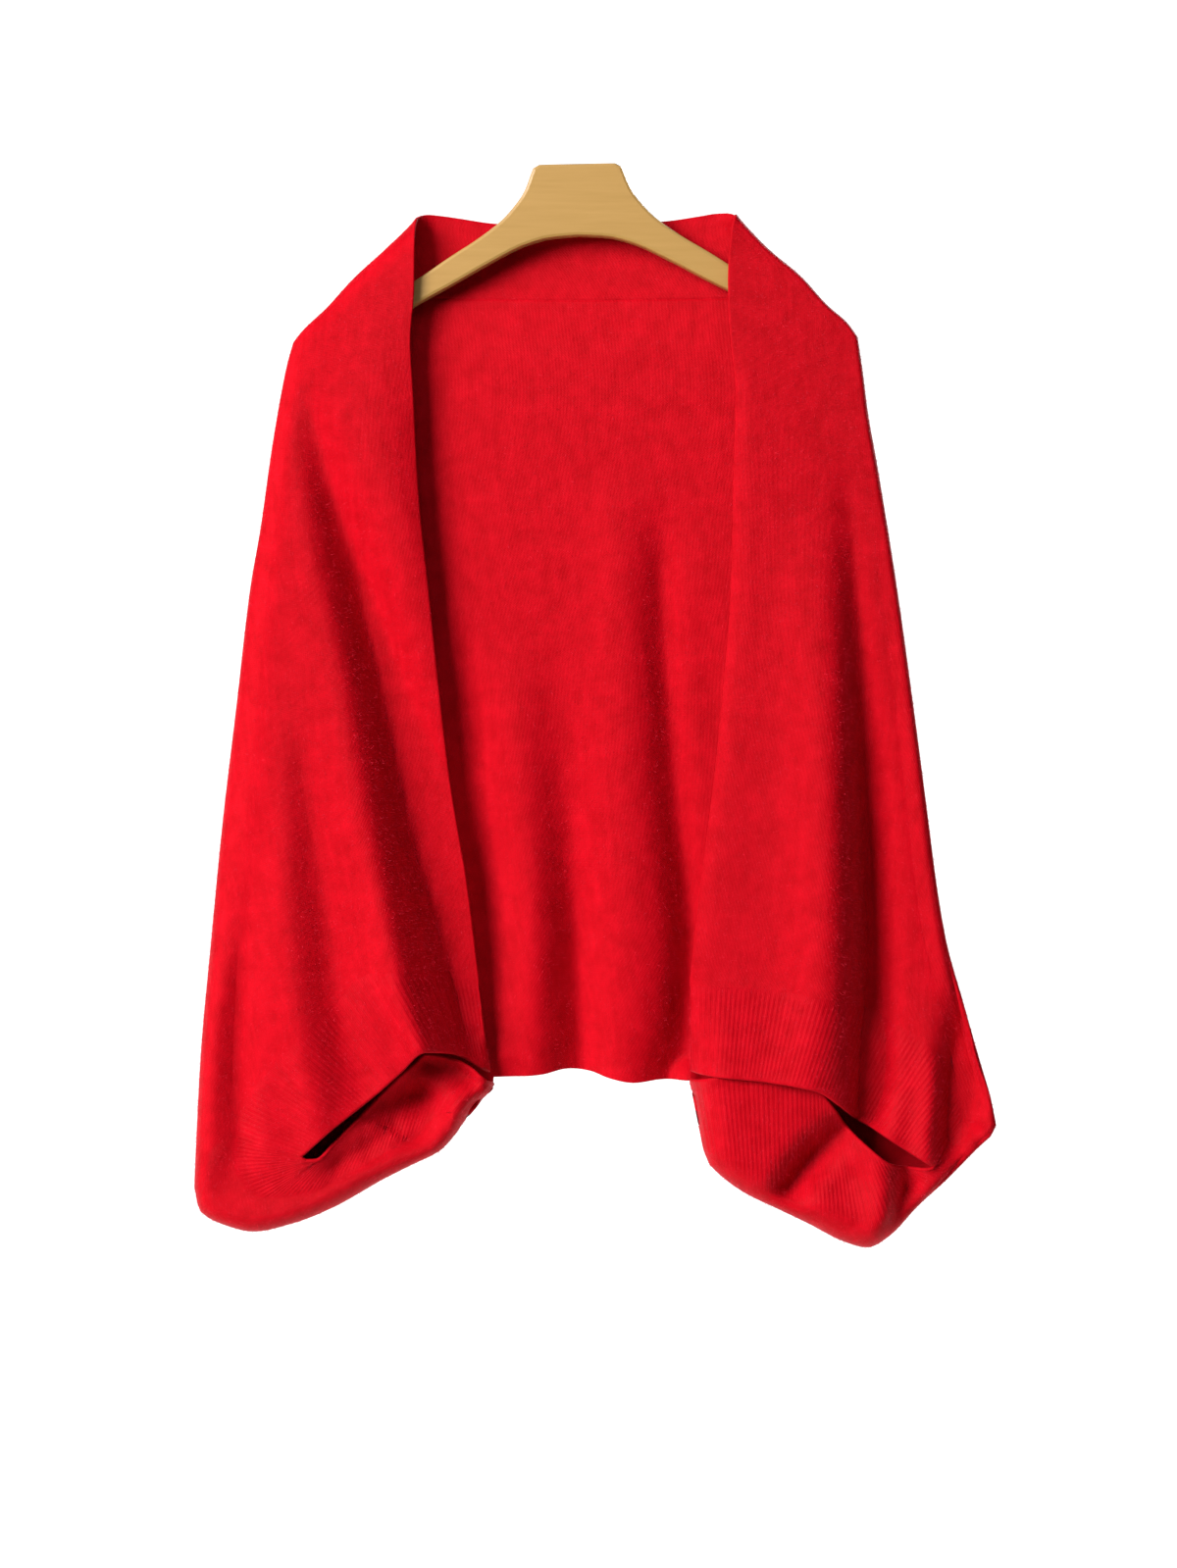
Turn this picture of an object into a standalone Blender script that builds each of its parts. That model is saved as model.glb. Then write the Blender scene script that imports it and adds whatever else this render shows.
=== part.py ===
"""Scarf cardigan hanging on a flat wooden hanger.

The cardigan is an open batwing shawl of fine brushed knit. A collar band stands at the back neck, the two fronts
fall open from the shoulder ridges, and each wide sleeve is cut in one with the body. A sleeve hangs down, passes
under and comes up in front, so its ribbed cuff is a slit-like mouth that faces forward.

Every cloth piece is a thin wall about a middle surface. A place on a surface is a pair (x, z) seen from the front,
and the depth y there is worked out from the distance to the garment's outline, a table of depths and the folds.
Tables are in millimetres, x to the viewer's right, z up, y away from the viewer. The origin is the middle of the
hanger's top edge. Sides are the wearer's, so the wearer's right is at the viewer's left, where x is negative.
"""
import bmesh
import bpy
import numpy as np
from math import radians

MM = 0.001

# Cloth
CLOTH = 2.0             # thickness of the knit wall
RIB = 2.6               # thickness of the ribbed cuffs
SEAM_GAP = 0.34         # clear width between two pieces at a seam
FOLD_GAP = 0.3          # clear width between front and back pieces along the outline
PATH_STEP = 5.0         # spacing of the points that a table's curve is read at
CREASE = 60             # degrees, edges sharper than this are shaded sharp
SLOPE_STEP = 0.4        # a surface's slope is read over twice this distance
AT_FOLD = 0.6           # a place this near the outline lies on the fold itself

# Hanger
HANGER_THICKNESS = 12.0
HANGER_TILT = 1.2       # degrees, the viewer's right arm is the higher one
HANGER_EDGE = 2.5       # radius of its rounded edges
HANGER_EDGE_STEPS = 2
HANGER_EDGE_ANGLE = 50  # degrees, corners sharper than this are rounded
HANGER_TOP_STEP = 6.0   # spacing of the points along its upper and lower lines
HANGER_FOOT_STEP = 9.0
HOOK_HOLE = 5.0         # diameter of the hole for a hook
HOOK_HOLE_DEPTH = 22.0
HOOK_HOLE_SIDES = 16
ARM_TIP_TOP = (213.0, -141.0)
ARM_TIP_END = (218.0, -149.0)
ARM_TIP_FOOT = (212.0, -158.0)

# Columns: x, z. One half of the hanger's upper and lower line, from its middle to the arm's tip.
HANGER_TOP = [(0, 0), (29, 0), (34, -1.5), (36.5, -6), (39, -13), (43, -22), (51, -33), (62, -44.5), (82, -59),
              (103, -72), (122, -84.5), (168, -113), ARM_TIP_TOP]
HANGER_FOOT = [(0, -57), (22, -58.5), (43, -64), (70, -77), (101, -94), (122, -105), (168, -131), ARM_TIP_FOOT]

# Columns: z, front depth at the sleeve, front depth at the opening, back depth, radius of the fold at the outline.
DEPTHS = [(-38, 13, 15, 13, 18),
          (-104, 12, 18, 13, 15),
          (-142, 10, 20, 11, 12),
          (-250, 16, 25, 14, 20),
          (-400, 23, 30, 17, 28),
          (-550, 30, 34, 20, 33),
          (-650, 35, 36, 22, 35),
          (-725, 38, 36, 24, 36),
          (-800, 38, 34, 26, 36),
          (-862, 34, 30, 24, 34)]
UNDER_DEPTH = 30.0      # how far the part of a sleeve that turns under stands forward
COLLAR_BOW = 5.0        # how far the collar's middle bows back: it starts at one height and grows over another
COLLAR_BOW_FROM = -150.0
COLLAR_BOW_OVER = 60.0
COLLAR_HALF_WIDTH = 124.0
FREE_EDGE_CLOSE = (-625.0, -712.0)   # over these heights the opening's edge turns back to meet the hem
FREE_EDGE_RADIUS = 30.0
EDGE_AT_HEM = 4.5       # depth of the opening's edge where it meets the hem
HEM_END_DEPTH = 24.0    # how far back the hem's ends lie
HEM_END_REACH = 40.0
HEM_END_CLEAR = 8.0     # this near the hem's ends the back is still flat
LEAST_STAND = 3.0       # a front stands at least this far forward once it is this far from the outline
LEAST_STAND_REACH = 6.0
FOLD_FADE = 20.0        # folds fade out over this distance from the outline
SPLIT_BLEND = 34.0      # the front and the turned-under part become one over this distance

# Columns: x, z. RIDGE, OUTER, FOOT, BOTTOM and INNER_SIDE are the outline from the neck round to the hem's end.
# EDGE is the opening's free edge. The lips are the cuff's two edges, LOWER_LIP read back from the mouth's corner.
# RIB_UPPER and RIB_LOWER are the line where rib meets stocking stitch, and SPLIT runs from their corner to FOOT.
RIGHT = dict(
    RIDGE=[(-124, -38), (-130, -45), (-152, -68), (-177, -91), (-199, -115), (-218, -133), (-225, -142)],
    OUTER=[(-225, -142), (-230, -160), (-241, -220), (-251, -290), (-259, -337), (-270, -431), (-281, -524),
           (-290, -618), (-298, -711), (-302, -790)],
    FOOT=[(-302, -790), (-303, -812)],
    BOTTOM=[(-303, -812), (-299, -830), (-284, -840), (-256, -847), (-224, -840), (-194, -828), (-153, -805),
            (-131, -794), (-109, -783), (-97, -770)],
    INNER_SIDE=[(-97, -770), (-89, -758), (-81, -746), (-68, -736), (-67, -727)],
    EDGE=[(-124, -38), (-128, -56), (-130, -103), (-133, -142), (-131, -181), (-127, -259), (-119, -337),
          (-111, -415), (-102, -493), (-89, -571), (-79, -652)],
    BACK_SEAM=[(-140, -104.5), (-143, -180), (-138, -260), (-128, -360), (-115, -470), (-98, -580), (-80, -670),
               (-67, -727)],
    UPPER_LIP=[(-70, -722), (-84, -712), (-100, -704), (-119, -701), (-136, -717), (-153, -735), (-190, -766),
               (-217, -784)],
    LOWER_LIP=[(-217, -784), (-213, -788), (-204, -789), (-188, -779), (-167, -758), (-153, -739), (-135, -723),
               (-110, -714), (-85, -722), (-67.5, -732)],
    RIB_UPPER=[(-79, -652), (-110, -641), (-160, -641), (-195, -670), (-230, -706), (-258, -738), (-272, -768)],
    RIB_LOWER=[(-272, -768), (-268, -798), (-245, -818), (-215, -816), (-186, -803), (-156, -786), (-130, -770),
               (-112, -757), (-99, -751), (-88.5, -757.5)],
    SPLIT=[(-272, -768), (-302, -790)])
LEFT = dict(
    RIDGE=[(122, -36), (128, -44), (151, -68), (178, -91), (198, -113), (214, -127), (222, -138)],
    OUTER=[(222, -138), (226, -165), (230, -197), (238, -243), (253, -337), (266, -431), (278, -524), (284, -571),
           (292, -618), (305, -665), (318, -711), (327, -742), (331, -762)],
    FOOT=[(331, -762), (327, -771)],
    BOTTOM=[(327, -771), (316, -782), (293, -805), (269, -828), (247, -851), (230, -860), (214, -856),
            (184, -841), (159, -829), (134, -817), (118, -806), (106, -795)],
    INNER_SIDE=[(106, -795), (101, -782), (97, -758), (94, -742), (90, -730)],
    EDGE=[(122, -36), (120, -95), (122, -142), (126, -181), (124, -259), (122, -337), (116, -415), (108, -493),
          (98, -571), (89, -651)],
    BACK_SEAM=[(138, -104.5), (138, -200), (134, -300), (126, -420), (115, -540), (101, -650), (90, -730)],
    UPPER_LIP=[(91, -720), (140, -724), (170, -728), (188, -732), (205, -743), (222, -757), (236, -765),
               (258, -779), (281, -793)],
    LOWER_LIP=[(281, -793), (279, -796), (270, -797), (258, -796), (246, -792.5), (230, -781), (213, -765),
               (200, -747), (186, -732), (165, -722.5), (140, -720), (122, -723), (106, -725.5), (91, -729)],
    RIB_UPPER=[(89, -651), (140, -653), (190, -660), (222, -668), (252, -682), (280, -700), (299, -728), (306, -757)],
    RIB_LOWER=[(306, -757), (305, -775), (295, -792), (279, -809), (255, -829), (232, -842), (208, -838),
               (180, -826), (145, -811), (122, -797), (102, -785)],
    SPLIT=[(306, -757), (331, -762)])
COLLAR_TOP = [(-124, -38), (-95, -41), (-65, -45), (0, -47), (71, -43), (100, -39.5), (122, -36)]
NECK_SEAM = [(-140, -104.5), (0, -105.5), (138, -104.5)]
HEM = [(-67, -727), (-29, -724.5), (-9, -721), (10, -723), (26, -728), (46, -731.5), (68, -729.5), (90, -730)]

# Columns: x, z, depth, half width. A fold's depth is added along its path, and is minus where it stands forward.
RIGHT_FRONT_FOLDS = [
    [(-207, -205, 0, 14), (-199, -259, 8, 15), (-176, -337, 16, 18), (-153, -415, 22, 20), (-135, -493, 27, 21),
     (-115, -571, 30, 22), (-100, -649, 30, 22), (-90, -700, 22, 18), (-84, -728, 10, 16)],
    [(-212, -290, 0, 20), (-192, -415, -7, 22), (-178, -493, -10, 22), (-163, -571, -13, 22), (-143, -649, -16, 20),
     (-124, -696, -15, 16)],
    [(-170, -200, 0, 15), (-158, -259, -4, 16), (-138, -337, -6, 15), (-120, -415, -6, 13), (-100, -520, 0, 12)],
    [(-214, -540, 0, 13), (-209, -649, 7, 14), (-198, -727, 8, 15), (-190, -770, 0, 12)],
    [(-252, -380, 0, 14), (-254, -493, -5, 15), (-254, -688, -8, 16), (-241, -727, -8, 16), (-229, -805, -6, 18)]]
LEFT_FRONT_FOLDS = [
    [(216, -225, 0, 12), (226, -337, 9, 14), (231, -415, 16, 15), (237, -493, 24, 16), (240, -571, 29, 17),
     (241, -649, 32, 18), (236, -727, 32, 18), (228, -757, 28, 15)],
    [(185, -300, 0, 20), (188, -415, -5, 22), (190, -493, -8, 22), (188, -571, -10, 22), (180, -649, -12, 22),
     (172, -732, -12, 24)],
    [(280, -600, 0, 9), (282, -682, -8, 10), (279, -735, -10, 12), (272, -785, -8, 12)],
    [(298, -640, 0, 9), (302, -700, 9, 11), (303, -740, 10, 12), (298, -776, 7, 12), (290, -800, 0, 10)]]
UNDER_FOLDS = [
    [(204, -768, 8, 8), (180, -788, 12, 9), (152, -808, 6, 8)],
    [(226, -775, -4, 14), (228, -850, -6, 14)],
    [(262, -797, 5, 15), (258, -835, 3, 16)],
    [(-157, -768, 8, 9), (-172, -780, 8, 10), (-195, -790, 4, 9)],
    [(-104, -740, -8, 11), (-112, -768, -6, 11)]]
BACK_FOLDS = [
    [(-52, -400, 0, 16), (-50, -520, -5, 18), (-46, -640, -7, 18), (-42, -726, -7, 18)],
    [(-16, -380, 0, 16), (-12, -493, 4, 17), (-4, -600, 6, 18), (2, -726, 7, 18)],
    [(36, -240, 0, 15), (38, -320, -4, 15), (42, -493, -6, 16), (46, -640, -7, 17), (50, -728, -7, 17)],
    [(72, -260, 0, 14), (74, -337, 5, 15), (82, -493, 7, 16), (88, -640, 8, 16), (88, -700, 4, 14)],
    [(-200, -260, 0, 18), (-196, -400, 7, 20), (-190, -560, 11, 22), (-186, -700, 8, 22)],
    [(-150, -330, 0, 16), (-146, -470, -8, 18), (-140, -620, -9, 18), (-136, -740, 0, 16)],
    [(196, -300, 0, 18), (204, -440, 9, 20), (212, -600, 12, 20), (216, -760, 8, 22)],
    [(150, -380, 0, 16), (154, -500, -7, 18), (160, -660, -9, 20), (168, -780, 0, 18)]]

# Shares of a piece's height or width at which its rows and columns lie.
COLLAR_ROWS = [0, 0.004, 0.014, 0.034, 0.068, 0.108]
BODY_ROWS = 17          # rows from the neck seam's height down to the rib's line
RIB_COLUMNS = 12
SPLIT_COLUMNS = [0.4, 0.78, 1.0]
RIDGE_SHARE = 0.86      # share of the ridge that stands over the rib's line
BOTTOM_SHARE = 0.94     # share of the bottom fold that lies under the rib's line
RIB_ROWS = [0, 0.36, 0.7, 1.0]
LIP_TURN = 0.33         # share of the cuff over which its ribs fan out about the mouth's corner
UNDER_ROWS = [0, 0.12, 0.45, 1.0]
BACK_COLUMNS = 13
TAIL_SHARES = [0.5, 1.0]   # rows of a sleeve's back below the hem's end, as shares of the sleeve's inner side

KNIT_COLOUR = (0.66, 0.004, 0.018, 1)
RIB_COLOUR = (0.6, 0.004, 0.016, 1)
WOOD_COLOUR = (0.72, 0.43, 0.15, 1)


def smooth(t):
    t = np.clip(t, 0.0, 1.0)
    return t * t * (3.0 - 2.0 * t)


def curve(points, step=PATH_STEP):
    """A smooth curve through a table's rows that doesn't swing past them, read about every step."""
    rows = np.array(points, float)
    along = np.concatenate([[0.0], np.cumsum(np.hypot(*np.diff(rows[:, :2], axis=0).T))])
    gap = np.diff(along)
    slope = np.diff(rows, axis=0) / gap[:, None]
    tangent = np.vstack([slope[:1], np.zeros((len(rows) - 2, rows.shape[1])), slope[-1:]])
    same_way = slope[:-1] * slope[1:] > 0
    total = np.where(same_way, slope[:-1] + slope[1:], 1.0)
    tangent[1:-1] = np.where(same_way, 2.0 * slope[:-1] * slope[1:] / total, 0.0)
    at = np.linspace(0.0, along[-1], max(2, int(along[-1] / step) + 1))
    i = np.clip(np.searchsorted(along, at, side="right") - 1, 0, len(gap) - 1)
    h = gap[i][:, None]
    t = ((at - along[i]) / gap[i])[:, None]
    return ((2 * t**3 - 3 * t**2 + 1) * rows[i] + (t**3 - 2 * t**2 + t) * h * tangent[i]
            + (3 * t**2 - 2 * t**3) * rows[i + 1] + (t**3 - t**2) * h * tangent[i + 1])


def at_shares(path, shares):
    """The places on a path at the given shares of its length."""
    along = np.concatenate([[0.0], np.cumsum(np.hypot(*np.diff(path[:, :2], axis=0).T))])
    at = np.asarray(shares) * along[-1]
    return np.stack([np.interp(at, along, path[:, 0]), np.interp(at, along, path[:, 1])], axis=-1)


def nearest(path, x, z):
    """Each place's distance to a path, and the path's further columns where it is nearest."""
    a, b = path[:-1], path[1:]
    run = b[:, :2] - a[:, :2]
    dx = x.reshape(-1, 1) - a[:, 0]
    dz = z.reshape(-1, 1) - a[:, 1]
    share = np.clip((dx * run[:, 0] + dz * run[:, 1]) / (run**2).sum(axis=1), 0.0, 1.0)
    gap = np.hypot(dx - share * run[:, 0], dz - share * run[:, 1])
    i = gap.argmin(axis=1)
    row = np.arange(len(i))
    t = share[row, i][:, None]
    columns = a[i, 2:] * (1 - t) + b[i, 2:] * t
    return gap[row, i].reshape(x.shape), columns.reshape(x.shape + (-1,))


class Side:
    """One side of the cardigan: its outline and seams as curves."""

    def __init__(self, name, table, front_folds):
        self.name = name
        self.lines = {key: curve(points) for key, points in table.items()}
        parts = [self.lines[key] for key in ("RIDGE", "OUTER", "FOOT", "BOTTOM", "INNER_SIDE")]
        self.outline = np.vstack([parts[0]] + [part[1:] for part in parts[1:]])
        self.outer = np.vstack([parts[0], parts[1][1:], parts[2][1:]])
        self.edge = np.vstack([self.lines["EDGE"], np.array(table["UPPER_LIP"][:1], float)])
        lip_end = np.array(table["UPPER_LIP"][-1:], float)
        self.split = np.vstack([lip_end, self.lines["SPLIT"]])
        self.front_folds = [curve(rows) for rows in front_folds]

    def edge_x(self, z):
        return np.interp(-z, -self.edge[:, 1], self.edge[:, 0])

    def outer_x(self, z):
        return np.interp(-z, -self.outer[:, 1], self.outer[:, 0])


RIGHT_SIDE = Side("right", RIGHT, RIGHT_FRONT_FOLDS)
LEFT_SIDE = Side("left", LEFT, LEFT_FRONT_FOLDS)
UNDER_PATHS = [curve(rows) for rows in UNDER_FOLDS]
BACK_PATHS = [curve(rows) for rows in BACK_FOLDS]
DEPTH_ROWS = np.array(DEPTHS, float)


def depth_column(z, column):
    return np.interp(-z, -DEPTH_ROWS[:, 0], DEPTH_ROWS[:, column])


def folds(paths, x, z):
    total = np.zeros(x.shape)
    for path in paths:
        gap, values = nearest(path, x, z)
        total += values[..., 0] * np.exp(-(gap / values[..., 1]) ** 2)
    return total


def outline_gap(x, z):
    return np.minimum(nearest(RIGHT_SIDE.outline, x, z)[0], nearest(LEFT_SIDE.outline, x, z)[0])


def rounded(gap, radius):
    """How full a fold is at a distance from its outermost line: a quarter of an ellipse."""
    q = 1.0 - np.clip(gap / radius, 0.0, 1.0)
    return np.sqrt(1.0 - q * q)


def hem_end_gap(x, z):
    ends = [side.lines["INNER_SIDE"][-1] for side in (RIGHT_SIDE, LEFT_SIDE)]
    return np.minimum(*[np.hypot(x - end[0], z - end[1]) for end in ends])


def fold_line(x, z):
    """Depth of the outline's own line: 0, but back beside the hem where the sleeve's inner fold begins."""
    return HEM_END_DEPTH * np.exp(-(hem_end_gap(x, z) / HEM_END_REACH) ** 2)


def front_depth(side, x, z):
    """Middle surface of a front, from the shoulder ridge to the cuff's upper lip."""
    gap = outline_gap(x, z)
    width = side.edge_x(z) - side.outer_x(z)
    width = np.where(np.abs(width) < 1.0, 1.0, width)
    lean = np.clip((x - side.outer_x(z)) / width, 0.0, 1.0)
    full = depth_column(z, 1) * (1 - lean) + depth_column(z, 2) * lean
    depth = -full * rounded(gap, depth_column(z, 4)) + folds(side.front_folds, x, z) * smooth(gap / FOLD_FADE)
    top, foot = FREE_EDGE_CLOSE
    closing = smooth((top - z) / (top - foot)) * (1 - rounded(np.abs(x - side.edge_x(z)), FREE_EDGE_RADIUS))
    line = fold_line(x, z)
    depth = depth * (1 - closing) + (line - EDGE_AT_HEM) * closing
    return np.minimum(depth, line - 0.5 * FOLD_GAP - LEAST_STAND * smooth(gap / LEAST_STAND_REACH))


def under_depth(side, x, z):
    """Middle surface of the part of a sleeve that has turned under and come up in front."""
    gap = outline_gap(x, z)
    line = fold_line(x, z)
    full = rounded(gap, depth_column(z, 4))
    turned = line * (1 - full) - UNDER_DEPTH * full + folds(UNDER_PATHS, x, z) * smooth(gap / FOLD_FADE)
    share = smooth(nearest(side.split, x, z)[0] / SPLIT_BLEND)
    depth = front_depth(side, x, z) * (1 - share) + turned * share
    return np.minimum(depth, line - 0.5 * FOLD_GAP)


def back_depth(side, x, z):
    """Middle surface of the back, the sleeves' backs and the collar. It is the same on both sides."""
    gap = outline_gap(x, z)
    neck = smooth((z - COLLAR_BOW_FROM) / COLLAR_BOW_OVER) * np.clip(1.0 - (x / COLLAR_HALF_WIDTH) ** 2, 0.0, 1.0)
    line = fold_line(x, z)
    full = depth_column(z, 3) + COLLAR_BOW * neck - line
    depth = line + full * rounded(gap, depth_column(z, 4)) + folds(BACK_PATHS, x, z) * smooth(gap / FOLD_FADE)
    return np.maximum(depth, line + 0.5 * FOLD_GAP)


def patch(top, foot, inner, outer, rows):
    """A four-sided grid of places: the rows run from top to foot, the columns from inner to outer."""
    v = np.asarray(rows, float)[:, None, None]
    u = np.linspace(0.0, 1.0, len(top))[None, :, None]
    if len(top) == len(COLUMN_SHARES):
        u = COLUMN_SHARES[None, :, None]
    corners = (1 - v) * ((1 - u) * top[0] + u * top[-1]) + v * ((1 - u) * foot[0] + u * foot[-1])
    return (1 - v) * top[None] + v * foot[None] + (1 - u) * inner[:, None] + u * outer[:, None] - corners


def outline_way(x, z):
    """For places on the outline, the directions in the (x, z) plane that point out of the garment."""
    way = np.zeros(x.shape + (3,))
    closest = np.full(x.shape, np.inf)
    for side, turn in ((RIGHT_SIDE, -1.0), (LEFT_SIDE, 1.0)):
        line = side.outline
        gap = np.hypot(x[..., None] - line[:, 0], z[..., None] - line[:, 1])
        index = np.clip(gap.argmin(axis=-1), 1, len(line) - 2)
        run = line[index + 1] - line[index - 1]
        run /= np.linalg.norm(run, axis=-1, keepdims=True)
        nearer = gap.min(axis=-1) < closest
        closest = np.minimum(closest, gap.min(axis=-1))
        out = np.stack([-run[..., 1] * turn, np.zeros(x.shape), run[..., 0] * turn], axis=-1)
        way[nearer] = out[nearer]
    return way


def surface(depth, side, places, facing):
    """Points of a middle surface over a grid of places, and the directions square to it."""
    x, z = places[..., 0], places[..., 1]
    y = depth(side, x, z)
    step = SLOPE_STEP
    slope_x = (depth(side, x + step, z) - depth(side, x - step, z)) / (2 * step)
    slope_z = (depth(side, x, z + step) - depth(side, x, z - step)) / (2 * step)
    away = np.stack([slope_x * facing, np.full(x.shape, -facing), slope_z * facing], axis=-1)
    away /= np.linalg.norm(away, axis=-1, keepdims=True)
    at_fold = (outline_gap(x, z) < AT_FOLD) & ((facing > 0) | (hem_end_gap(x, z) > HEM_END_CLEAR))
    away[at_fold] = outline_way(x, z)[at_fold]
    return np.stack([x, y, z], axis=-1), away


def wall(name, middle, away, thickness, material):
    """A closed thin wall about a grid of middle points."""
    rows, columns = middle.shape[:2]
    half = 0.5 * thickness
    verts = np.concatenate([(middle + away * half).reshape(-1, 3), (middle - away * half).reshape(-1, 3)]) * MM
    count = rows * columns
    faces = []
    for i in range(rows - 1):
        for j in range(columns - 1):
            a, b = i * columns + j, i * columns + j + 1
            c, d = b + columns, a + columns
            faces.append((a, b, c, d))
            faces.append((a + count, d + count, c + count, b + count))
    rim = [(0, j) for j in range(columns)] + [(i, columns - 1) for i in range(1, rows)]
    rim += [(rows - 1, j) for j in range(columns - 2, -1, -1)] + [(i, 0) for i in range(rows - 2, 0, -1)]
    loop = [i * columns + j for i, j in rim]
    for a, b in zip(loop, loop[1:] + loop[:1]):
        faces.append((b, a, a + count, b + count))
    mesh = bpy.data.meshes.new(name)
    mesh.from_pydata([tuple(v) for v in verts], [], faces)
    build = bmesh.new()
    build.from_mesh(mesh)
    bmesh.ops.recalc_face_normals(build, faces=build.faces)
    build.to_mesh(mesh)
    build.free()
    mesh.shade_smooth()
    mesh.set_sharp_from_angle(angle=radians(CREASE))
    mesh.materials.append(material)
    piece = bpy.data.objects.new(name, mesh)
    bpy.context.scene.collection.objects.link(piece)
    return piece


def draw_in(middle, away, edges, last_row=None):
    """Moves a surface's named edges in by half a seam's gap, so that two pieces at a seam stand clear."""
    moved = middle.copy()
    for edge in edges:
        rim, next_row = {"top": (np.s_[0], np.s_[1]), "foot": (np.s_[-1], np.s_[-2]),
                         "inner": (np.s_[:last_row, 0], np.s_[:last_row, 1]),
                         "outer": (np.s_[:last_row, -1], np.s_[:last_row, -2])}[edge]
        line, facing = middle[rim], away[rim]
        square = np.cross(facing[:-1] + facing[1:], np.diff(line, axis=0))
        square /= np.linalg.norm(square, axis=-1, keepdims=True)
        inward = (middle[next_row] - line)[:-1] + (middle[next_row] - line)[1:]
        square *= np.sign((inward * square).sum(axis=-1, keepdims=True))
        before, after = np.vstack([square[:1], square]), np.vstack([square, square[-1:]])
        mitre = (before + after) / (1.0 + (before * after).sum(axis=-1, keepdims=True))
        moved[rim] += mitre * 0.5 * SEAM_GAP
    return moved


def even(first, last, count):
    return list(np.linspace(first, last, count + 1)[1:])


RIB_SHARES = np.linspace(0.0, 1.0, RIB_COLUMNS + 1)
BODY_SHARES = COLLAR_ROWS + even(COLLAR_ROWS[-1], 1.0, BODY_ROWS)


def column_shares(rib_share):
    """Shares of a line's length for a grid's columns, when the rib's line takes the first part of it."""
    return np.concatenate([RIB_SHARES * rib_share, rib_share + (1 - rib_share) * np.array(SPLIT_COLUMNS)])


COLUMN_SHARES = column_shares(RIDGE_SHARE)


def bottom_line(side):
    return at_shares(side.lines["BOTTOM"][::-1], column_shares(BOTTOM_SHARE))


def rib_line(side, key):
    shares = RIB_SHARES if key == "RIB_UPPER" else RIB_SHARES[::-1]
    return at_shares(side.lines[key], shares)


def split_line(side):
    return at_shares(side.lines["SPLIT"], SPLIT_COLUMNS)


def front_places(side):
    """A front from the ridge down to the rib's line, and from the opening's edge out to the outline."""
    top = at_shares(side.lines["RIDGE"], COLUMN_SHARES)
    foot = np.vstack([rib_line(side, "RIB_UPPER"), split_line(side)])
    inner = at_shares(side.lines["EDGE"], BODY_SHARES)
    outer = at_shares(side.lines["OUTER"], BODY_SHARES)
    return patch(top, foot, inner, outer, BODY_SHARES)


def sleeve_back_places(side, corner):
    """A sleeve's back from the ridge down to the bottom fold."""
    top = at_shares(side.lines["RIDGE"], COLUMN_SHARES)
    foot = bottom_line(side)
    collar_rows = len(COLLAR_ROWS)
    down = np.array(COLLAR_ROWS) / COLLAR_ROWS[-1]
    seam_top = side.lines["BACK_SEAM"][0]
    beside_collar = corner[None] * (1 - down[:, None]) + seam_top[None] * down[:, None]
    seam = at_shares(side.lines["BACK_SEAM"], even(0.0, 1.0, BODY_ROWS - 1))
    tail = at_shares(side.lines["INNER_SIDE"][::-1], TAIL_SHARES)
    inner = np.vstack([beside_collar, seam, tail])
    outer = np.vstack([at_shares(side.lines["OUTER"], BODY_SHARES), side.lines["FOOT"][-1:]])
    rows = np.array(BODY_SHARES[:collar_rows] + even(BODY_SHARES[collar_rows - 1], 1.0, BODY_ROWS + 1))
    return patch(top, foot, inner, outer, rows)


def sleeve_under_places(side):
    """The part of a sleeve between its bottom fold and the rib, seen in front."""
    top = bottom_line(side)
    foot = np.vstack([rib_line(side, "RIB_LOWER"), split_line(side)])
    inner = top[0][None] * (1 - np.array(UNDER_ROWS)[:, None]) + foot[0][None] * np.array(UNDER_ROWS)[:, None]
    outer = top[-1][None] * (1 - np.array(UNDER_ROWS)[:, None]) + foot[-1][None] * np.array(UNDER_ROWS)[:, None]
    return patch(top, foot, inner, outer, UNDER_ROWS)


def make_front(side, material):
    middle, away = surface(front_depth, side, front_places(side), 1.0)
    return wall(side.name + "_front", draw_in(middle, away, ["foot"]), away, CLOTH, material)


def make_sleeve(side, corner, material):
    """The sleeve's back, and the part below its bottom fold that has come up in front of it."""
    back, back_away = surface(back_depth, side, sleeve_back_places(side, corner), -1.0)
    back = draw_in(back, back_away, ["inner"], last_row=len(COLLAR_ROWS) + BODY_ROWS - 1)
    wall(side.name + "_sleeve_back", back, back_away, CLOTH, material)
    under, under_away = surface(under_depth, side, sleeve_under_places(side), 1.0)
    wall(side.name + "_sleeve_under", draw_in(under, under_away, ["foot"]), under_away, CLOTH, material)


def crowded(shares):
    """Shares of the lower lip for the ribs' ends, which crowd at the mouth's corner, where the ribs fan out."""
    bend = 1.0 / (LIP_TURN * (2.0 - LIP_TURN))
    return np.where(shares < LIP_TURN, bend * shares**2, 1.0 - 2.0 * bend * LIP_TURN * (1.0 - shares))


def make_cuff_half(side, half, depth, material):
    """The rib above or below the mouth. The halves meet on the line from the mouth's corner to the rib's corner."""
    lip = at_shares(side.lines[half.upper() + "_LIP"], RIB_SHARES if half == "upper" else crowded(RIB_SHARES))
    foot = at_shares(side.lines["RIB_" + half.upper()], RIB_SHARES)
    down = np.array(RIB_ROWS)[:, None, None]
    middle, away = surface(depth, side, lip[None] * (1 - down) + foot[None] * down, 1.0)
    corner = "outer" if half == "upper" else "inner"
    return wall(f"{side.name}_cuff_{half}", draw_in(middle, away, ["foot", corner]), away, RIB, material)


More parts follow.
